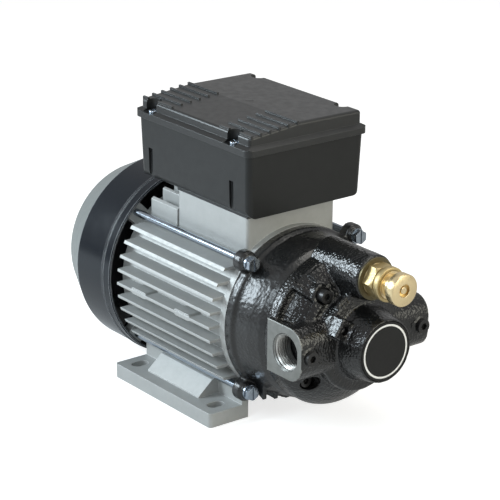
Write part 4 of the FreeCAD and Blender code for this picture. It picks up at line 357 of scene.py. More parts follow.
def linked(name: str, data: bpy.types.ID) -> bpy.types.Object:
    """New object with a mesh, lamp or camera, in the scene."""
    made = bpy.data.objects.new(name, data)
    bpy.context.scene.collection.objects.link(made)
    return made


def bake(obj: bpy.types.Object) -> None:
    """Replace the object's mesh by its evaluated mesh and drop the modifiers."""
    graph = bpy.context.evaluated_depsgraph_get()
    graph.update()
    mesh = bpy.data.meshes.new_from_object(obj.evaluated_get(graph))
    obj.modifiers.clear()
    obj.data = mesh


def merged_copy(node: str, name: str) -> bpy.types.Object:
    """Copy of a CAD node with its loose triangles joined into one surface.

    Args:
        node: CAD node to copy.
        name: name of the new piece.
    Returns:
        The new object.
    """
    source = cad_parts[node].data
    mesh = bpy.data.meshes.new(name)
    mesh.from_pydata([v.co[:] for v in source.vertices], [],
                     [p.vertices[:] for p in source.polygons])
    work = bmesh.new()
    work.from_mesh(mesh)
    bmesh.ops.remove_doubles(work, verts=work.verts, dist=WELD * MM)
    bmesh.ops.dissolve_degenerate(work, edges=work.edges, dist=WELD * MM)
    bmesh.ops.recalc_face_normals(work, faces=work.faces)
    work.to_mesh(mesh)
    work.free()
    return linked(name, mesh)


def placed(obj: bpy.types.Object, slot: str, body: str, *nodes: str,
           material: bpy.types.Material | None = None) -> None:
    """Finish a new piece: material from its slot unless it has its own, smooth shading, body and
    replaced nodes.

    Args:
        obj: the piece, already in place.
        slot: record slot that it takes its finish from.
        body: body that it rides on.
        nodes: CAD nodes that it stands for.
        material: own material, where it differs from the slot's.
    """
    obj.data.materials.clear()
    obj.data.materials.append(material or finish_of(slot))
    obj.data.shade_smooth()
    obj.data.set_sharp_from_angle(angle=SHARP_ANGLE)
    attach(obj, body)
    if nodes:
        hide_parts(*nodes)
    log.info("%-18s %7d faces", obj.name, len(obj.data.polygons))


def closed(name: str, work: bmesh.types.BMesh) -> bpy.types.Object:
    """New object from a closed surface, with its faces turned outward."""
    bmesh.ops.recalc_face_normals(work, faces=work.faces)
    mesh = bpy.data.meshes.new(name)
    work.to_mesh(mesh)
    work.free()
    return linked(name, mesh)


def ring_surface(name: str, loops: list[list[Point]]) -> bpy.types.Object:
    """Closed tube surface through equal loops of points, the last joined to the first.

    Args:
        name: name of the piece.
        loops: loops of points in millimetres.
    Returns:
        The new object.
    """
    count = len(loops[0])
    work = bmesh.new()
    rows = [[work.verts.new([c * MM for c in point]) for point in loop] for loop in loops]
    for k, row in enumerate(rows):
        after = rows[(k + 1) % len(rows)]
        for i in range(count):
            j = (i + 1) % count
            work.faces.new((row[i], row[j], after[j], after[i]))
    return closed(name, work)


def turned(name: str, profile: list[Pair], line_z: float) -> bpy.types.Object:
    """Solid of revolution about a line along X.

    Args:
        name: name of the piece.
        profile: points (x, radius) in millimetres; the first and last lie on the line.
        line_z: height of the line.
    Returns:
        The new object.
    """
    work = bmesh.new()
    ends = [work.verts.new((x * MM, 0, line_z * MM)) for x, _ in (profile[0], profile[-1])]
    rows = [[work.verts.new((x * MM, r * MM * math.cos(t), (line_z + r * math.sin(t)) * MM))
             for t in TURNS] for x, r in profile[1:-1]]
    for i in range(ROUND_STEPS):
        j = (i + 1) % ROUND_STEPS
        work.faces.new((ends[0], rows[0][j], rows[0][i]))
        work.faces.new((ends[1], rows[-1][i], rows[-1][j]))
        for low, high in zip(rows, rows[1:]):
            work.faces.new((low[i], low[j], high[j], high[i]))
    return closed(name, work)


def eased_rim(x0: float, x1: float, radius: float, cut: float, step: float) -> list[Pair]:
    """Rim of a disc with both corners eased.

    Args:
        x0, x1: back and front face.
        radius: radius of the disc.
        cut, step: where the easing starts, and how deep its middle lies.
    Returns:
        Points (x, radius) from back to front.
    """
    return [(x0, radius - cut), (x0 + step, radius - step), (x0 + cut, radius),
            (x1 - cut, radius), (x1 - step, radius - step), (x1, radius - cut)]


class NodeTree(Graph):
    """Geometry node tree with named inputs."""

    def __init__(self, name: str, inputs: dict[str, float]) -> None:
        group = bpy.data.node_groups.new(name, "GeometryNodeTree")
        super().__init__(group)
        sockets = [("Geometry", "INPUT", "Geometry"), *((key, "INPUT", "Float") for key in inputs),
                   ("Material", "INPUT", "Material"), ("Geometry", "OUTPUT", "Geometry")]
        for key, way, kind in sockets:
            made = group.interface.new_socket(key, in_out=way, socket_type="NodeSocket" + kind)
            if key in inputs:
                made.default_value = inputs[key]
        self.source = self.add("NodeGroupInput").outputs

    def close(self, geometry: Socket) -> None:
        """Realize, give the material and send to the output."""
        solid = self.feed(self.add("GeometryNodeRealizeInstances"), Geometry=geometry)
        dressed = self.feed(self.add("GeometryNodeSetMaterial"), Geometry=solid.outputs[0],
                            Material=self.source["Material"])
        self.feed(self.add("NodeGroupOutput"), Geometry=dressed.outputs[0])

    def apply(self, obj: bpy.types.Object, material: bpy.types.Material,
              **values: float) -> None:
        """Run the tree on an object and bake the result.

        Args:
            obj: object whose mesh is the tree's geometry.
            material: material of the result.
            values: named inputs, with underscores for blanks.
        """
        modifier = obj.modifiers.new(self.tree.name, "NODES")
        modifier.node_group = self.tree
        wanted = {key.replace("_", " "): value for key, value in values.items()}
        wanted["Material"] = material
        for item in self.tree.interface.items_tree:
            if item.in_out == "INPUT" and item.name in wanted:
                modifier[item.identifier] = wanted[item.name]
        bake(obj)


def cast_skin_tree() -> NodeTree:
    """Tree that pushes a surface out and in like rough casting under thick paint."""
    tree = NodeTree("cast_skin", {"Lump Size": 5.0, "Lump Height": 0.2, "Grain Size": 1.8,
                                  "Grain Height": 0.06})
    place = tree.add("GeometryNodeInputPosition").outputs[0]
    rises = []
    for feature in ("Lump", "Grain"):
        scale = tree.math("DIVIDE", 1.0 / MM, tree.source[feature + " Size"])
        noise = tree.add("ShaderNodeTexNoise")
        tree.feed(noise, Vector=place, Scale=scale, Detail=2.0)
        swing = tree.math("SUBTRACT", noise.outputs["Fac"], 0.5)
        rises.append(tree.math("MULTIPLY", swing, tree.source[feature + " Height"]))
    weight = tree.add("GeometryNodeInputNamedAttribute", data_type="FLOAT")
    tree.feed(weight, Name="skin")
    # The noise swings by half to both sides, so it is doubled to reach the heights.
    offset = tree.math("MULTIPLY", tree.math("ADD", *rises), 2.0 * MM)
    along = tree.feed(tree.add("ShaderNodeVectorMath", operation="SCALE"),
                      i0=tree.add("GeometryNodeInputNormal").outputs[0],
                      Scale=tree.math("MULTIPLY", offset, weight.outputs[0]))
    moved = tree.feed(tree.add("GeometryNodeSetPosition"), Geometry=tree.source["Geometry"],
                      Offset=along.outputs[0])
    tree.close(moved.outputs[0])
    return tree


def thread_tree() -> NodeTree:
    """Tree that winds a thread ridge inside a bore along Z."""
    tree = NodeTree("thread", {"Turns": 8.0, "Radius": 13.2, "Length": 15.0, "Ridge": 1.1})
    radius, length, height = [tree.math("MULTIPLY", tree.source[key], MM)
                              for key in ("Radius", "Length", "Ridge")]
    spiral = tree.add("GeometryNodeCurveSpiral")
    tree.feed(spiral, Resolution=64, Rotations=tree.source["Turns"], Start_Radius=radius,
              End_Radius=radius, Height=length)
    ridge = tree.add("GeometryNodeCurvePrimitiveCircle", mode="RADIUS")
    tree.feed(ridge, Resolution=4, Radius=height)
    swept = tree.feed(tree.add("GeometryNodeCurveToMesh"), Curve=spiral.outputs[0],
                      Profile_Curve=ridge.outputs[0], Fill_Caps=True)
    tree.close(swept.outputs[0])
    return tree


def fastener_tree() -> NodeTree:
    """Tree that sets a slotted screw on every point, its head up along Z before the turn."""
    lengths = {"Head Radius": 5.0, "Head Height": 4.0, "Chamfer": 0.6, "Slot": 0.0,
               "Shank Radius": 3.0, "Shank Length": 20.0}
    tree = NodeTree("fastener", {**lengths, "Head Sides": 6.0, "Turn Y": 90.0})
    size = {key: tree.math("MULTIPLY", tree.source[key], MM) for key in lengths}
    cone_spread, bar_reach, bar_depth = 1.6, 3.0, 2.0

    def lifted(geometry: Socket, height: Socket) -> Socket:
        """Geometry moved up by a height."""
        up = tree.feed(tree.add("ShaderNodeCombineXYZ"), Z=height)
        moved = tree.add("GeometryNodeTransform")
        return tree.feed(moved, Geometry=geometry, Translation=up.outputs[0]).outputs[0]

    def cylinder(sides: Socket | int, radius: Socket, depth: Socket) -> Socket:
        """Cylinder about its middle."""
        node = tree.add("GeometryNodeMeshCylinder")
        return tree.feed(node, Vertices=sides, Radius=radius, Depth=depth).outputs[0]

    half = tree.math("MULTIPLY", size["Head Height"], 0.5)
    prism = cylinder(tree.source["Head Sides"], size["Head Radius"], size["Head Height"])
    wide = tree.math("ADD", size["Head Radius"],
                     tree.math("MULTIPLY", size["Head Height"], cone_spread))
    narrow = tree.math("SUBTRACT", size["Head Radius"], size["Chamfer"])
    cone = tree.feed(tree.add("GeometryNodeMeshCone"), Vertices=64, Radius_Top=narrow,
                     Radius_Bottom=wide, Depth=size["Head Height"])
    crowned = tree.add("GeometryNodeMeshBoolean", operation="INTERSECT", solver="EXACT")
    for part in (lifted(prism, half), cone.outputs[0]):
        tree.tree.links.new(part, crowned.inputs["Mesh 2"])
    bar = tree.feed(tree.add("ShaderNodeCombineXYZ"), Y=size["Slot"],
                    X=tree.math("MULTIPLY", size["Head Radius"], bar_reach),
                    Z=tree.math("MULTIPLY", size["Slot"], bar_depth))
    block = tree.feed(tree.add("GeometryNodeMeshCube"), Size=bar.outputs[0])
    cut = tree.add("GeometryNodeMeshBoolean", operation="DIFFERENCE", solver="EXACT")
    tree.feed(cut, Mesh_1=crowned.outputs["Mesh"],
              Mesh_2=lifted(block.outputs[0], size["Head Height"]))
    below = tree.math("MULTIPLY", size["Shank Length"], -0.5)
    shank = lifted(cylinder(32, size["Shank Radius"], size["Shank Length"]), below)
    screw = tree.add("GeometryNodeJoinGeometry")
    for part in (shank, cut.outputs["Mesh"]):
        tree.tree.links.new(part, screw.inputs[0])
    turn = tree.feed(tree.add("ShaderNodeCombineXYZ"),
                     Y=tree.math("RADIANS", tree.source["Turn Y"]))
    points = tree.feed(tree.add("GeometryNodeMeshToPoints"), Mesh=tree.source["Geometry"])
    set_out = tree.feed(tree.add("GeometryNodeInstanceOnPoints"), Points=points.outputs[0],
                        Instance=screw.outputs[0], Rotation=turn.outputs[0])
    tree.close(set_out.outputs[0])
    return tree


@dataclass(frozen=True)
class Lamp:
    """Round soft lamp.

    Attributes:
        name: name of the lamp.
        place, size: its place and the width of its disc, in metres.
        power, colour: watts and colour of its light.
    """

    name: str
    place: Point
    size: float
    power: float
    colour: Colour

    def build(self, aim: Point) -> None:
        """Add the lamp, turned towards a point."""
        data = bpy.data.lights.new(self.name, "AREA")
        data.shape = "DISK"
        data.size = self.size
        data.energy = self.power
        data.color = self.colour
        lamp = linked(self.name, data)
        lamp.location = self.place
        way = Vector(aim) - Vector(self.place)
        lamp.rotation_euler = way.to_track_quat("-Z", "Y").to_euler()


@dataclass
class Studio:
    """Camera at the photograph's angle, pale floor and soft lamps.

    Attributes:
        place, back: place of the camera in metres, and direction from the part to it.
        roll_deg: roll of the camera.
        lens, sensor: focal length and width of the sensor.
        shift: shift of the picture along its two axes.
        floor_tone, floor_grain: grey of the floor, and how much it varies.
        floor_reach, floor_drop: half its width and its gap below the feet, in metres.
        floor_glow: own light of the floor.
        ambient: strength of the world as a light.
        floor_mirrored, mirrored: shares of floor and world that mirroring surfaces show.
        lamps, aim: the lamps, and the point in metres that they are turned to.
    """

    place: Point = (1.2284, -0.9501, 0.6656)
    back: Point = (0.74238, -0.57833, 0.33825)
    roll_deg: float = 0.50
    lens: float = 152.15
    sensor: float = 36.0
    shift: Pair = (0.00344, 0.0030)
    floor_tone: float = 0.62
    floor_grain: float = 0.01
    floor_reach: float = 12.0
    floor_drop: float = 0.0003
    floor_glow: float = 0.72
    floor_mirrored: float = 0.2
    ambient: float = 0.27
    mirrored: float = 0.55
    aim: Point = (0.0, 0.0, 0.1)
    lamps: tuple[Lamp, ...] = (
        Lamp("key", (-0.44, -0.62, 0.44), 0.4, 6.7, (0.80, 0.92, 1.0)),
        Lamp("side", (0.31, -0.78, 0.59), 0.32, 2.5, (0.80, 0.92, 1.0)),
        Lamp("front", (2.0, 0.6, 0.9), 1.8, 24.0, (1.0, 0.98, 0.84)),
        Lamp("top", (0.15, 0.35, 1.5), 0.8, 4.5, (1.0, 0.98, 0.92)),
    )

    def camera(self) -> None:
        """Set up the camera."""
        data = bpy.data.cameras.new("camera")
        data.lens = self.lens
        data.sensor_width = self.sensor
        data.shift_x, data.shift_y = self.shift
        back = Vector(self.back).normalized()
        right = Vector((0, 0, 1)).cross(back).normalized()
        up = back.cross(right)
        roll = math.radians(self.roll_deg)
        across = right * math.cos(roll) + up * math.sin(roll)
        upward = up * math.cos(roll) - right * math.sin(roll)
        made = linked("camera", data)
        axes = Matrix((across, upward, back)).transposed()
        made.matrix_world = Matrix.Translation(self.place) @ axes.to_4x4()
        bpy.context.scene.camera = made

    def seen(self, graph: Graph, mirrored: float) -> Socket:
        """Share of white that the camera sees straight or through glass, or else mirrored."""
        path = graph.add("ShaderNodeLightPath").outputs
        straight = graph.math("MAXIMUM", path["Is Camera Ray"], path["Is Transmission Ray"])
        glossy = graph.math("MULTIPLY", path["Is Glossy Ray"], mirrored)
        return graph.math("MAXIMUM", straight, glossy)

    def floor(self) -> None:
        """Pale floor under the object."""
        mesh = bpy.data.meshes.new("floor")
        reach = self.floor_reach
        corners = [(-reach, -reach, 0), (reach, -reach, 0), (reach, reach, 0), (-reach, reach, 0)]
        mesh.from_pydata(corners, [], [(0, 1, 2, 3)])
        floor = linked("floor", mesh)
        floor.location.z = -self.floor_drop
        paper = bpy.data.materials.new("floor_paper")
        paper.use_nodes = True
        graph = Graph(paper.node_tree)
        place = graph.add("ShaderNodeTexCoord").outputs["Object"]
        fibre = graph.add("ShaderNodeTexNoise")
        graph.feed(fibre, Vector=place, Scale=900.0, Detail=3.0)
        tone = graph.add("ShaderNodeMapRange")
        graph.feed(tone, Value=fibre.outputs["Fac"], To_Min=self.floor_tone - self.floor_grain,
                   To_Max=self.floor_tone + self.floor_grain)
        glow = graph.math("MULTIPLY", self.seen(graph, self.floor_mirrored), self.floor_glow)
        graph.feed(paper.node_tree.nodes["Principled BSDF"], Base_Color=tone.outputs[0],
                   Roughness=0.9, Emission_Color=(1.0, 1.0, 1.0, 1.0), Emission_Strength=glow)
        mesh.materials.append(paper)

    def light(self) -> None:
        """Soft lamps and a plain pale world."""
        for lamp in self.lamps:
            lamp.build(self.aim)
        world = bpy.data.worlds.new("studio")
        world.use_nodes = True
        world.node_tree.nodes.clear()
        graph = Graph(world.node_tree)
        strength = graph.math("MAXIMUM", self.seen(graph, self.mirrored), self.ambient)
        sky = graph.add("ShaderNodeBackground")
        graph.feed(sky, Color=(1.0, 1.0, 1.0, 1.0), Strength=strength)
        graph.feed(graph.add("ShaderNodeOutputWorld"), Surface=sky.outputs[0])
        bpy.context.scene.world = world
        bpy.context.scene.view_settings.view_transform = "Standard"

    def build(self) -> None:
        """Build camera, floor and lights."""
        self.camera()
        self.floor()
        self.light()
        log.info("studio ready")


@dataclass
class Casting:
    """Rough casting under thick glossy paint, made from its CAD node.

    Attributes:
        node: CAD node that it stands for.
        name: name of the piece.
        voxel: step of the remesh.
        rounds: smoothing rounds, which round all edges.
        lump: height of the broad unevenness.
        grain: height of the fine unevenness.
        paint: own finish, where it differs from the slot's.
    """

    node: str
    name: str
    voxel: float = 0.85
    rounds: int = 2
    lump: float = 0.22
    grain: float = 0.06
    paint: Finish | None = None

    def shaped(self, co: Vector) -> tuple[Vector, float]:
        """Corrected place of a surface point, and how rough the skin is there."""
        return co, 1.0

    def build(self, skin: NodeTree) -> None:
        """Make the casting, its skin roughened by the node tree."""
        obj = merged_copy(self.node, self.name)
        remesh = obj.modifiers.new("remesh", "REMESH")
        remesh.mode = "VOXEL"
        remesh.voxel_size = self.voxel * MM
        smooth = obj.modifiers.new("smooth", "SMOOTH")
        smooth.factor = 0.5
        smooth.iterations = self.rounds
        bake(obj)
        weight = obj.data.attributes.new("skin", "FLOAT", "POINT")
        for vertex in obj.data.vertices:
            place, share = self.shaped(vertex.co / MM)
            vertex.co = place * MM
            weight.data[vertex.index].value = share
        painted = self.paint.material(self.name) if self.paint else finish_of(PAINTED)
        skin.apply(obj, painted, Lump_Height=self.lump, Grain_Height=self.grain)
        placed(obj, PAINTED, HOUSING, self.node, material=painted)


@dataclass
class BellCasting(Casting):
    """Bell housing between motor and pump.

    Attributes:
        rough_x: length with a cast skin, between the machined faces.
        rough_r: radius outside which the skin is cast.
    """

    node: str = "bell_housing"
    name: str = "bell_casting"
    lump: float = 0.16
    grain: float = 0.03
    paint: Finish | None = BELL_PAINT
    rough_x: Pair = (67.7, 103.0)
    rough_r: float = 54.0

    def shaped(self, co: Vector) -> tuple[Vector, float]:
        """Machined joint faces stay plain, the outside is rough."""
        radius = math.hypot(co.y, co.z - SHAFT_Z)
        rough = radius > self.rough_r and self.rough_x[0] < co.x < self.rough_x[1]
        return co, 1.0 if rough else 0.0


@dataclass
class PumpCasting(Casting):
    """Pump body with open ports and a true seat for the front disc.

    Attributes:
        port_bore: radius of the port bores, opened from port_floor out along Y.
        port_face: where the machined port faces start along Y.
        back_x: front end of the machined flange.
        core_r, core_x: radius and front end of the machined inside.
        seat_x: where the disc seat starts, levelled to disc_seat inside disc_radius.
        taper_x, taper_length: where the body tapers.
        taper_r, taper_drop, taper_power: its radius, what it loses there, and the bend.
        pocket_x, pocket_angles: ends and sides of the cast pocket, in degrees about the shaft.
        pocket_rim, pocket_reach: how far above and below the body its points lie.
        pocket_depth: how many times deeper it is made.
    """

    node: str = "pump_body"
    name: str = "pump_casting"
    port_bore: float = 14.3
    port_floor: float = 45.0
    port_face: float = 60.4
    back_x: float = 104.6
    core_r: float = 38.0
    core_x: float = 145.0
    seat_x: float = 169.0
    disc_seat: float = 170.7
    disc_radius: float = 22.9
    taper_x: float = 115.5
    taper_length: float = 21.0
    taper_r: float = 59.5
    taper_drop: float = 18.5
    taper_power: float = 1.5
    pocket_x: Pair = (115.2, 132.8)
    pocket_angles: Pair = (134.5, 161.5)
    pocket_rim: float = 2.6
    pocket_reach: float = 2.4
    pocket_depth: float = 1.6

    def surface(self, x: float) -> float:
        """Radius of the tapered body at x."""
        share = (x - self.taper_x) / self.taper_length
        return self.taper_r - self.taper_drop * min(1.0, max(0.0, share)) ** self.taper_power

    def sunk(self, co: Vector, radius: float) -> float:
        """New radius of a point in the cast pocket, which is made deeper."""
        rim = self.surface(co.x) + self.pocket_rim
        return rim - (rim - radius) * self.pocket_depth

    def in_pocket(self, co: Vector, radius: float) -> bool:
        """Whether a point lies on the pocket's floor or walls."""
        angle = math.degrees(math.atan2(co.z - SHAFT_Z, co.y))
        body_r = self.surface(co.x)
        return (self.pocket_x[0] < co.x < self.pocket_x[1]
                and self.pocket_angles[0] < angle < self.pocket_angles[1]
                and body_r - self.pocket_reach < radius < body_r + self.pocket_rim)

    def shaped(self, co: Vector) -> tuple[Vector, float]:
        """Open the port bores, sink the pocket and level the disc seat, with a rough outside."""
        co = co.copy()
        radius = math.hypot(co.y, co.z - SHAFT_Z)
        if self.in_pocket(co, radius):
            share = self.sunk(co, radius) / radius
            return Vector((co.x, co.y * share, SHAFT_Z + (co.z - SHAFT_Z) * share)), 1.0
        across = Vector((co.x - PORT_X, co.z - PORT_Z))
        if abs(co.y) > self.port_floor and across.length < self.port_bore:
            across = across.normalized() * self.port_bore
            co.x = PORT_X + across.x
            co.z = PORT_Z + across.y
            return co, 0.0
        if co.x > self.seat_x and radius < self.disc_radius:
            co.x = min(co.x, self.disc_seat)
            return co, 0.0
        on_face = abs(co.y) > self.port_face
        inside = radius < self.core_r and co.x < self.core_x
        return co, 0.0 if inside or on_face or co.x < self.back_x else 1.0


@dataclass
class Port:
    """Machined port face with a threaded sleeve.

    Attributes:
        side: -1 for the inlet, 1 for the outlet.
        face_y: distance of the face from the shaft line.
        x0, x1: rear and front edge of the face.
        half_z: half its height.
        corner: radius of its front corners.
        lip: bevel of its edge.
        plate, skirt: thickness of the face plate, and how far its bore goes on below.
        bore: radius of the bore between the threads.
        mouth: width of the chamfer round the bore.
        ease: gap between the plate and the sleeve.
        wall: wall of the sleeve.
        sleeve_drop, thread_drop: how far sleeve and thread start below the face.
        thread_length: length from the face to the end of the sleeve.
        thread_short: how much shorter the thread is.
        pitch, ridge: pitch of the thread and half the height of its ridge.
        steps: points along an edge or a corner.
    """

    side: int
    face_y: float = 61.36
    x0: float = 110.7
    x1: float = 150.4
    half_z: float = 20.4
    corner: float = 13.9
    lip: float = 0.35
    plate: float = 1.2
    skirt: float = 0.3
    bore: float = 13.3
    mouth: float = 1.3
    ease: float = 0.1
    wall: float = 0.7
    sleeve_drop: float = 1.1
    thread_length: float = 15.6
    thread_drop: float = 1.9
    thread_short: float = 2.6
    pitch: float = 1.814
    ridge: float = 1.0
    steps: int = 14

    def outline(self, inset: float) -> list[Pair]:
        """Outline of the port face, drawn in by an inset, as (x, z)."""
        x0, x1 = self.x0 + inset, self.x1 - inset
        z0, z1 = PORT_Z - self.half_z + inset, PORT_Z + self.half_z - inset
        r = self.corner - inset
        steps = self.steps
        points = [(x0 + (x1 - r - x0) * k / steps, z0) for k in range(steps)]
        for cx, cz, start in ((x1 - r, z0 + r, -90), (x1 - r, z1 - r, 0)):
            arc = [math.radians(start + 90 * k / steps) for k in range(steps + 1)]
            points += [(cx + r * math.cos(t), cz + r * math.sin(t)) for t in arc]
        points += [(x1 - r + (x0 - x1 + r) * k / steps, z1) for k in range(1, steps)]
        points += [(x0, z1 + (z0 - z1) * k / (2 * steps)) for k in range(2 * steps)]
        return points

    def circle(self, radius: float) -> list[Pair]:
        """Points of a circle about the bore, in line with those of the outline."""
        angles = [math.atan2(z - PORT_Z, x - PORT_X) for x, z in self.outline(0.0)]
        return [(PORT_X + radius * math.cos(a), PORT_Z + radius * math.sin(a)) for a in angles]

    def shell(self, name: str, levels: list[tuple[list[Pair], float]],
              material: bpy.types.Material) -> None:
        """Build a piece from loops of (x, z), each with its distance from the shaft line."""
        loops = [[(x, self.side * y, z) for x, z in loop] for loop, y in levels]
        placed(ring_surface(name, loops), "machined_steel", HOUSING, material=material)

    def build(self, thread: NodeTree) -> None:
        """Build the face plate, the sleeve and, with the node tree, the thread."""
        tag = "inlet" if self.side < 0 else "outlet"
        bare = PORT_FACE.material("port_face_" + tag)
        oily = PORT_THREAD.material("port_thread_" + tag)
        top = self.face_y
        under = top - self.plate
        hole = self.circle(self.bore + self.ease)
        self.shell("port_face_" + tag, [
            (self.outline(0.0), under), (self.outline(0.0), top - self.lip),
            (self.outline(self.lip), top), (self.circle(self.bore + self.mouth), top),
            (hole, under), (hole, under - self.skirt)], bare)
        start, end = top - self.sleeve_drop, top - self.thread_length
        inner, outer = self.circle(self.bore), self.circle(self.bore + self.wall)
        self.shell("port_sleeve_" + tag,
                   [(inner, start), (inner, end), (outer, end), (outer, start)], oily)
        name = "port_thread_" + tag
        winding = linked(name, bpy.data.meshes.new(name))
        length = self.thread_length - self.thread_short
        thread.apply(winding, oily, Turns=length / self.pitch, Radius=self.bore, Length=length,
                     Ridge=self.ridge)
        mouth = (PORT_X * MM, self.side * (top - self.thread_drop) * MM, PORT_Z * MM)
        turn = Matrix.Rotation(math.radians(90 * self.side), 4, "X")
        winding.data.transform(Matrix.Translation(mouth) @ turn)
        placed(winding, "machined_steel", HOUSING, material=oily)


@dataclass
class ValveNut:
    """Valve nut with spigot, hexagon, groove and collar, hollow for spring and stem.

    Names in _x are places along X, names in _r and _bore are radii.

    Attributes:
        spigot_x: inner end of the spigot, with the chamfer spigot_cut.
        seat_x, hex_x: back and front of the hexagon.
        hex_cuts: where the hexagon has loops, as shares of its length.
        corner_r: its corners.
        crown_r, cone_slope: chamfer cone at its front, and how fast it widens to the back.
        groove_r: groove behind the collar.
        collar_x, end_x: back and front of the collar.
        collar_ease: cut and step of the collar's eased corners.
        neck_bore: bore for the screw's neck, with the chamfer neck_cut.
        partition_x: floor of that bore.
        stem_bore, spring_bore: bores for the screw's stem and the spring.
    """

    spigot_x: float = 145.0
    spigot_r: float = 12.0
    spigot_cut: float = 0.6
    seat_x: float = 159.2
    hex_x: float = 168.2
    hex_cuts: tuple[float, ...] = (0.0, 0.7, 0.78, 0.86, 0.93, 1.0)
    corner_r: float = 13.4
    crown_r: float = 11.9
    cone_slope: float = 0.75
    groove_r: float = 10.9
    collar_x: float = 170.2
    collar_r: float = 13.2
    collar_ease: Pair = (0.8, 0.25)
    end_x: float = 175.2
    neck_bore: float = 10.7
    neck_cut: float = 0.3
    partition_x: float = 164.2
    stem_bore: float = 5.1
    spring_bore: float = 8.4

    def ring(self, x: float, radius: float) -> list[Point]:
        """Round loop at x."""
        return [(x, radius * math.cos(t), VALVE_Z + radius * math.sin(t)) for t in TURNS]

    def hexagon(self, x: float) -> list[Point]:
        """Hexagonal loop at x, cut round by the chamfer cone."""
        flat = self.corner_r * math.cos(math.pi / 6)
        cone = self.crown_r + self.cone_slope * (self.hex_x - x)
        points = []
        for t in TURNS:
            off = (t % (math.pi / 3)) - math.pi / 6
            r = min(flat / math.cos(off), cone)
            points.append((x, r * math.cos(t), VALVE_Z + r * math.sin(t)))
        return points

    def build(self) -> None:
        """Build the nut from its loops, outside first, then the bores back."""
        length = self.hex_x - self.seat_x
        outside = [self.ring(self.spigot_x, self.spigot_r - self.spigot_cut),
                   self.ring(self.spigot_x + self.spigot_cut, self.spigot_r),
                   self.ring(self.seat_x, self.spigot_r)]
        outside += [self.hexagon(self.seat_x + share * length) for share in self.hex_cuts]
        rest = [(self.hex_x, self.groove_r), (self.collar_x, self.groove_r),
                *eased_rim(self.collar_x, self.end_x, self.collar_r, *self.collar_ease),
                (self.end_x, self.neck_bore + self.neck_cut),
                (self.end_x - self.neck_cut, self.neck_bore), (self.partition_x, self.neck_bore),
                (self.partition_x, self.stem_bore), (self.seat_x, self.stem_bore),
                (self.seat_x, self.spring_bore), (self.spigot_x, self.spring_bore)]
        nut = ring_surface("valve_nut_turned", outside + [self.ring(x, r) for x, r in rest])
        placed(nut, "brass", HOUSING, "valve_nut", material=NUT_BRASS.material("valve_nut"))


@dataclass
class Knob:
    """Adjusting screw with stem, neck and a knob with a recessed face.

    Names in _x are places along X, names in _r are radii.

    Attributes:
        x0: inner end of the stem.
        neck_x, waist_x: back of the neck and of the waist before the knob.
        waist_ease: length of the slope down to the waist.
        knob_x0, knob_x1: back and face of the knob.
        knob_ease: cut and step of the knob's eased corners.
        recess_cut, recess_depth: mouth chamfer and depth of the recess in the face.
        recess_taper: how much narrower its floor is.
        button_taper: how much wider the foot of the button in its middle is.
        button_edge, button_face: depths of the button's edge and face.
        button_cut: how much narrower the button's face is.
    """

    x0: float = 154.2
    stem_r: float = 5.0
    neck_x: float = 170.2
    neck_r: float = 10.6
    waist_x: float = 175.6
    waist_r: float = 8.9
    waist_ease: float = 0.4
    knob_x0: float = 182.2
    knob_x1: float = 190.2
    knob_r: float = 12.2
    knob_ease: Pair = (0.9, 0.3)
    recess_r: float = 4.7
    recess_cut: float = 0.3
    recess_depth: float = 3.6
    recess_taper: float = 0.2
    button_r: float = 2.8
    button_taper: float = 0.1
    button_edge: float = 1.1
    button_face: float = 0.7
    button_cut: float = 0.5

    def build(self) -> None:
        """Turn the knob about the valve line."""
        face, floor = self.knob_x1, self.knob_x1 - self.recess_depth
        knob = turned("knob_turned", [
            (self.x0, 0), (self.x0, self.stem_r), (self.neck_x, self.stem_r),
            (self.neck_x, self.neck_r), (self.waist_x, self.neck_r),
            (self.waist_x + self.waist_ease, self.waist_r), (self.knob_x0, self.waist_r),
            *eased_rim(self.knob_x0, face, self.knob_r, *self.knob_ease),
            (face, self.recess_r + self.recess_cut), (face - self.recess_cut, self.recess_r),
            (floor, self.recess_r - self.recess_taper), (floor, self.button_r + self.button_taper),
            (face - self.button_edge, self.button_r),
            (face - self.button_face, self.button_r - self.button_cut),
            (face - self.button_face, 0)], VALVE_Z)
        placed(knob, "brass", "knob", "adjusting_screw")


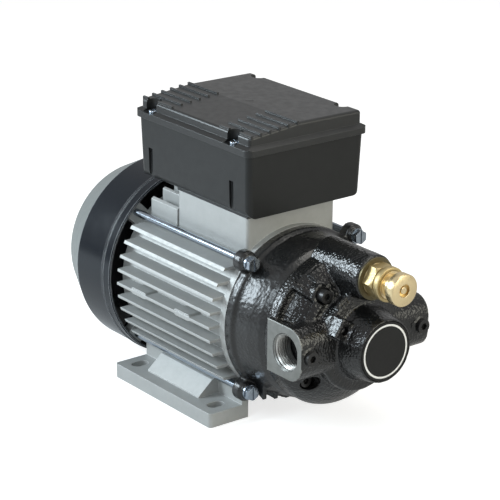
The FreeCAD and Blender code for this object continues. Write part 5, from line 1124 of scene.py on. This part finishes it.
@dataclass
class TieRods:
    """The four tie rods with their slotted hexagon heads.

    Attributes:
        seat_x: where the heads sit.
        ear: distance of the rods from the shaft line along Y and along Z.
        head_r, head_height, chamfer: size of the heads, over their corners.
        slot: width and depth of their slots.
        shank_r, shank_length: radius and length of the rods.
    """

    seat_x: float = 78.6
    ear: float = 51.513
    head_r: float = 5.77
    head_height: float = 4.0
    chamfer: float = 0.5
    slot: float = 1.0
    shank_r: float = 3.0
    shank_length: float = 155.5

    def build(self, tree: NodeTree) -> None:
        """Set the rods out on their seats with the fastener tree."""
        seats = [(self.seat_x, sy * self.ear, SHAFT_Z + sz * self.ear)
                 for sy in (-1, 1) for sz in (-1, 1)]
        mesh = bpy.data.meshes.new("tie_rod_set")
        mesh.from_pydata([[c * MM for c in seat] for seat in seats], [], [])
        rods = linked("tie_rod_set", mesh)
        tree.apply(rods, finish_of("zinc_steel"), Head_Radius=self.head_r,
                   Head_Height=self.head_height, Chamfer=self.chamfer, Slot=self.slot,
                   Shank_Radius=self.shank_r, Shank_Length=self.shank_length)
        placed(rods, "zinc_steel", HOUSING, "tie_rods")


@dataclass
class LidMark:
    """Small moulded dash on top of the box lid.

    Attributes:
        start, end: middles of its round ends, as (x, y).
        half: half its width.
        low, high: levels of its bottom and top.
        steps: steps round each end.
    """

    start: Pair = (7.8, -2.7)
    end: Pair = (10.9, 1.6)
    half: float = 0.55
    low: float = 231.3
    high: float = 231.62
    steps: int = 8

    def build(self) -> None:
        """Build the dash."""
        lean = math.atan2(self.end[1] - self.start[1], self.end[0] - self.start[0])
        rim = []
        for (cx, cy), first in ((self.end, -90), (self.start, 90)):
            for k in range(self.steps + 1):
                t = lean + math.radians(first + 180 / self.steps * k)
                rim.append((cx + self.half * math.cos(t), cy + self.half * math.sin(t)))
        work = bmesh.new()
        below, above = [[work.verts.new((x * MM, y * MM, z * MM)) for x, y in rim]
                        for z in (self.low, self.high)]
        for i in range(len(rim)):
            j = (i + 1) % len(rim)
            work.faces.new((below[i], below[j], above[j], above[i]))
        work.faces.new(above)
        work.faces.new(below[::-1])
        placed(closed("lid_mark", work), "box_plastic", HOUSING, material=finish_of("rubber"))


def main() -> None:
    """Dress the CAD nodes, set up the studio and build the new pieces in order."""
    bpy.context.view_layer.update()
    dress_nodes()
    Studio().build()
    skin = cast_skin_tree()
    BellCasting().build(skin)
    PumpCasting().build(skin)
    thread = thread_tree()
    for side in (-1, 1):
        Port(side).build(thread)
    ValveNut().build()
    Knob().build()
    TieRods().build(fastener_tree())
    LidMark().build()
    log.info("all pieces built")


if __name__ == "__main__":
    main()
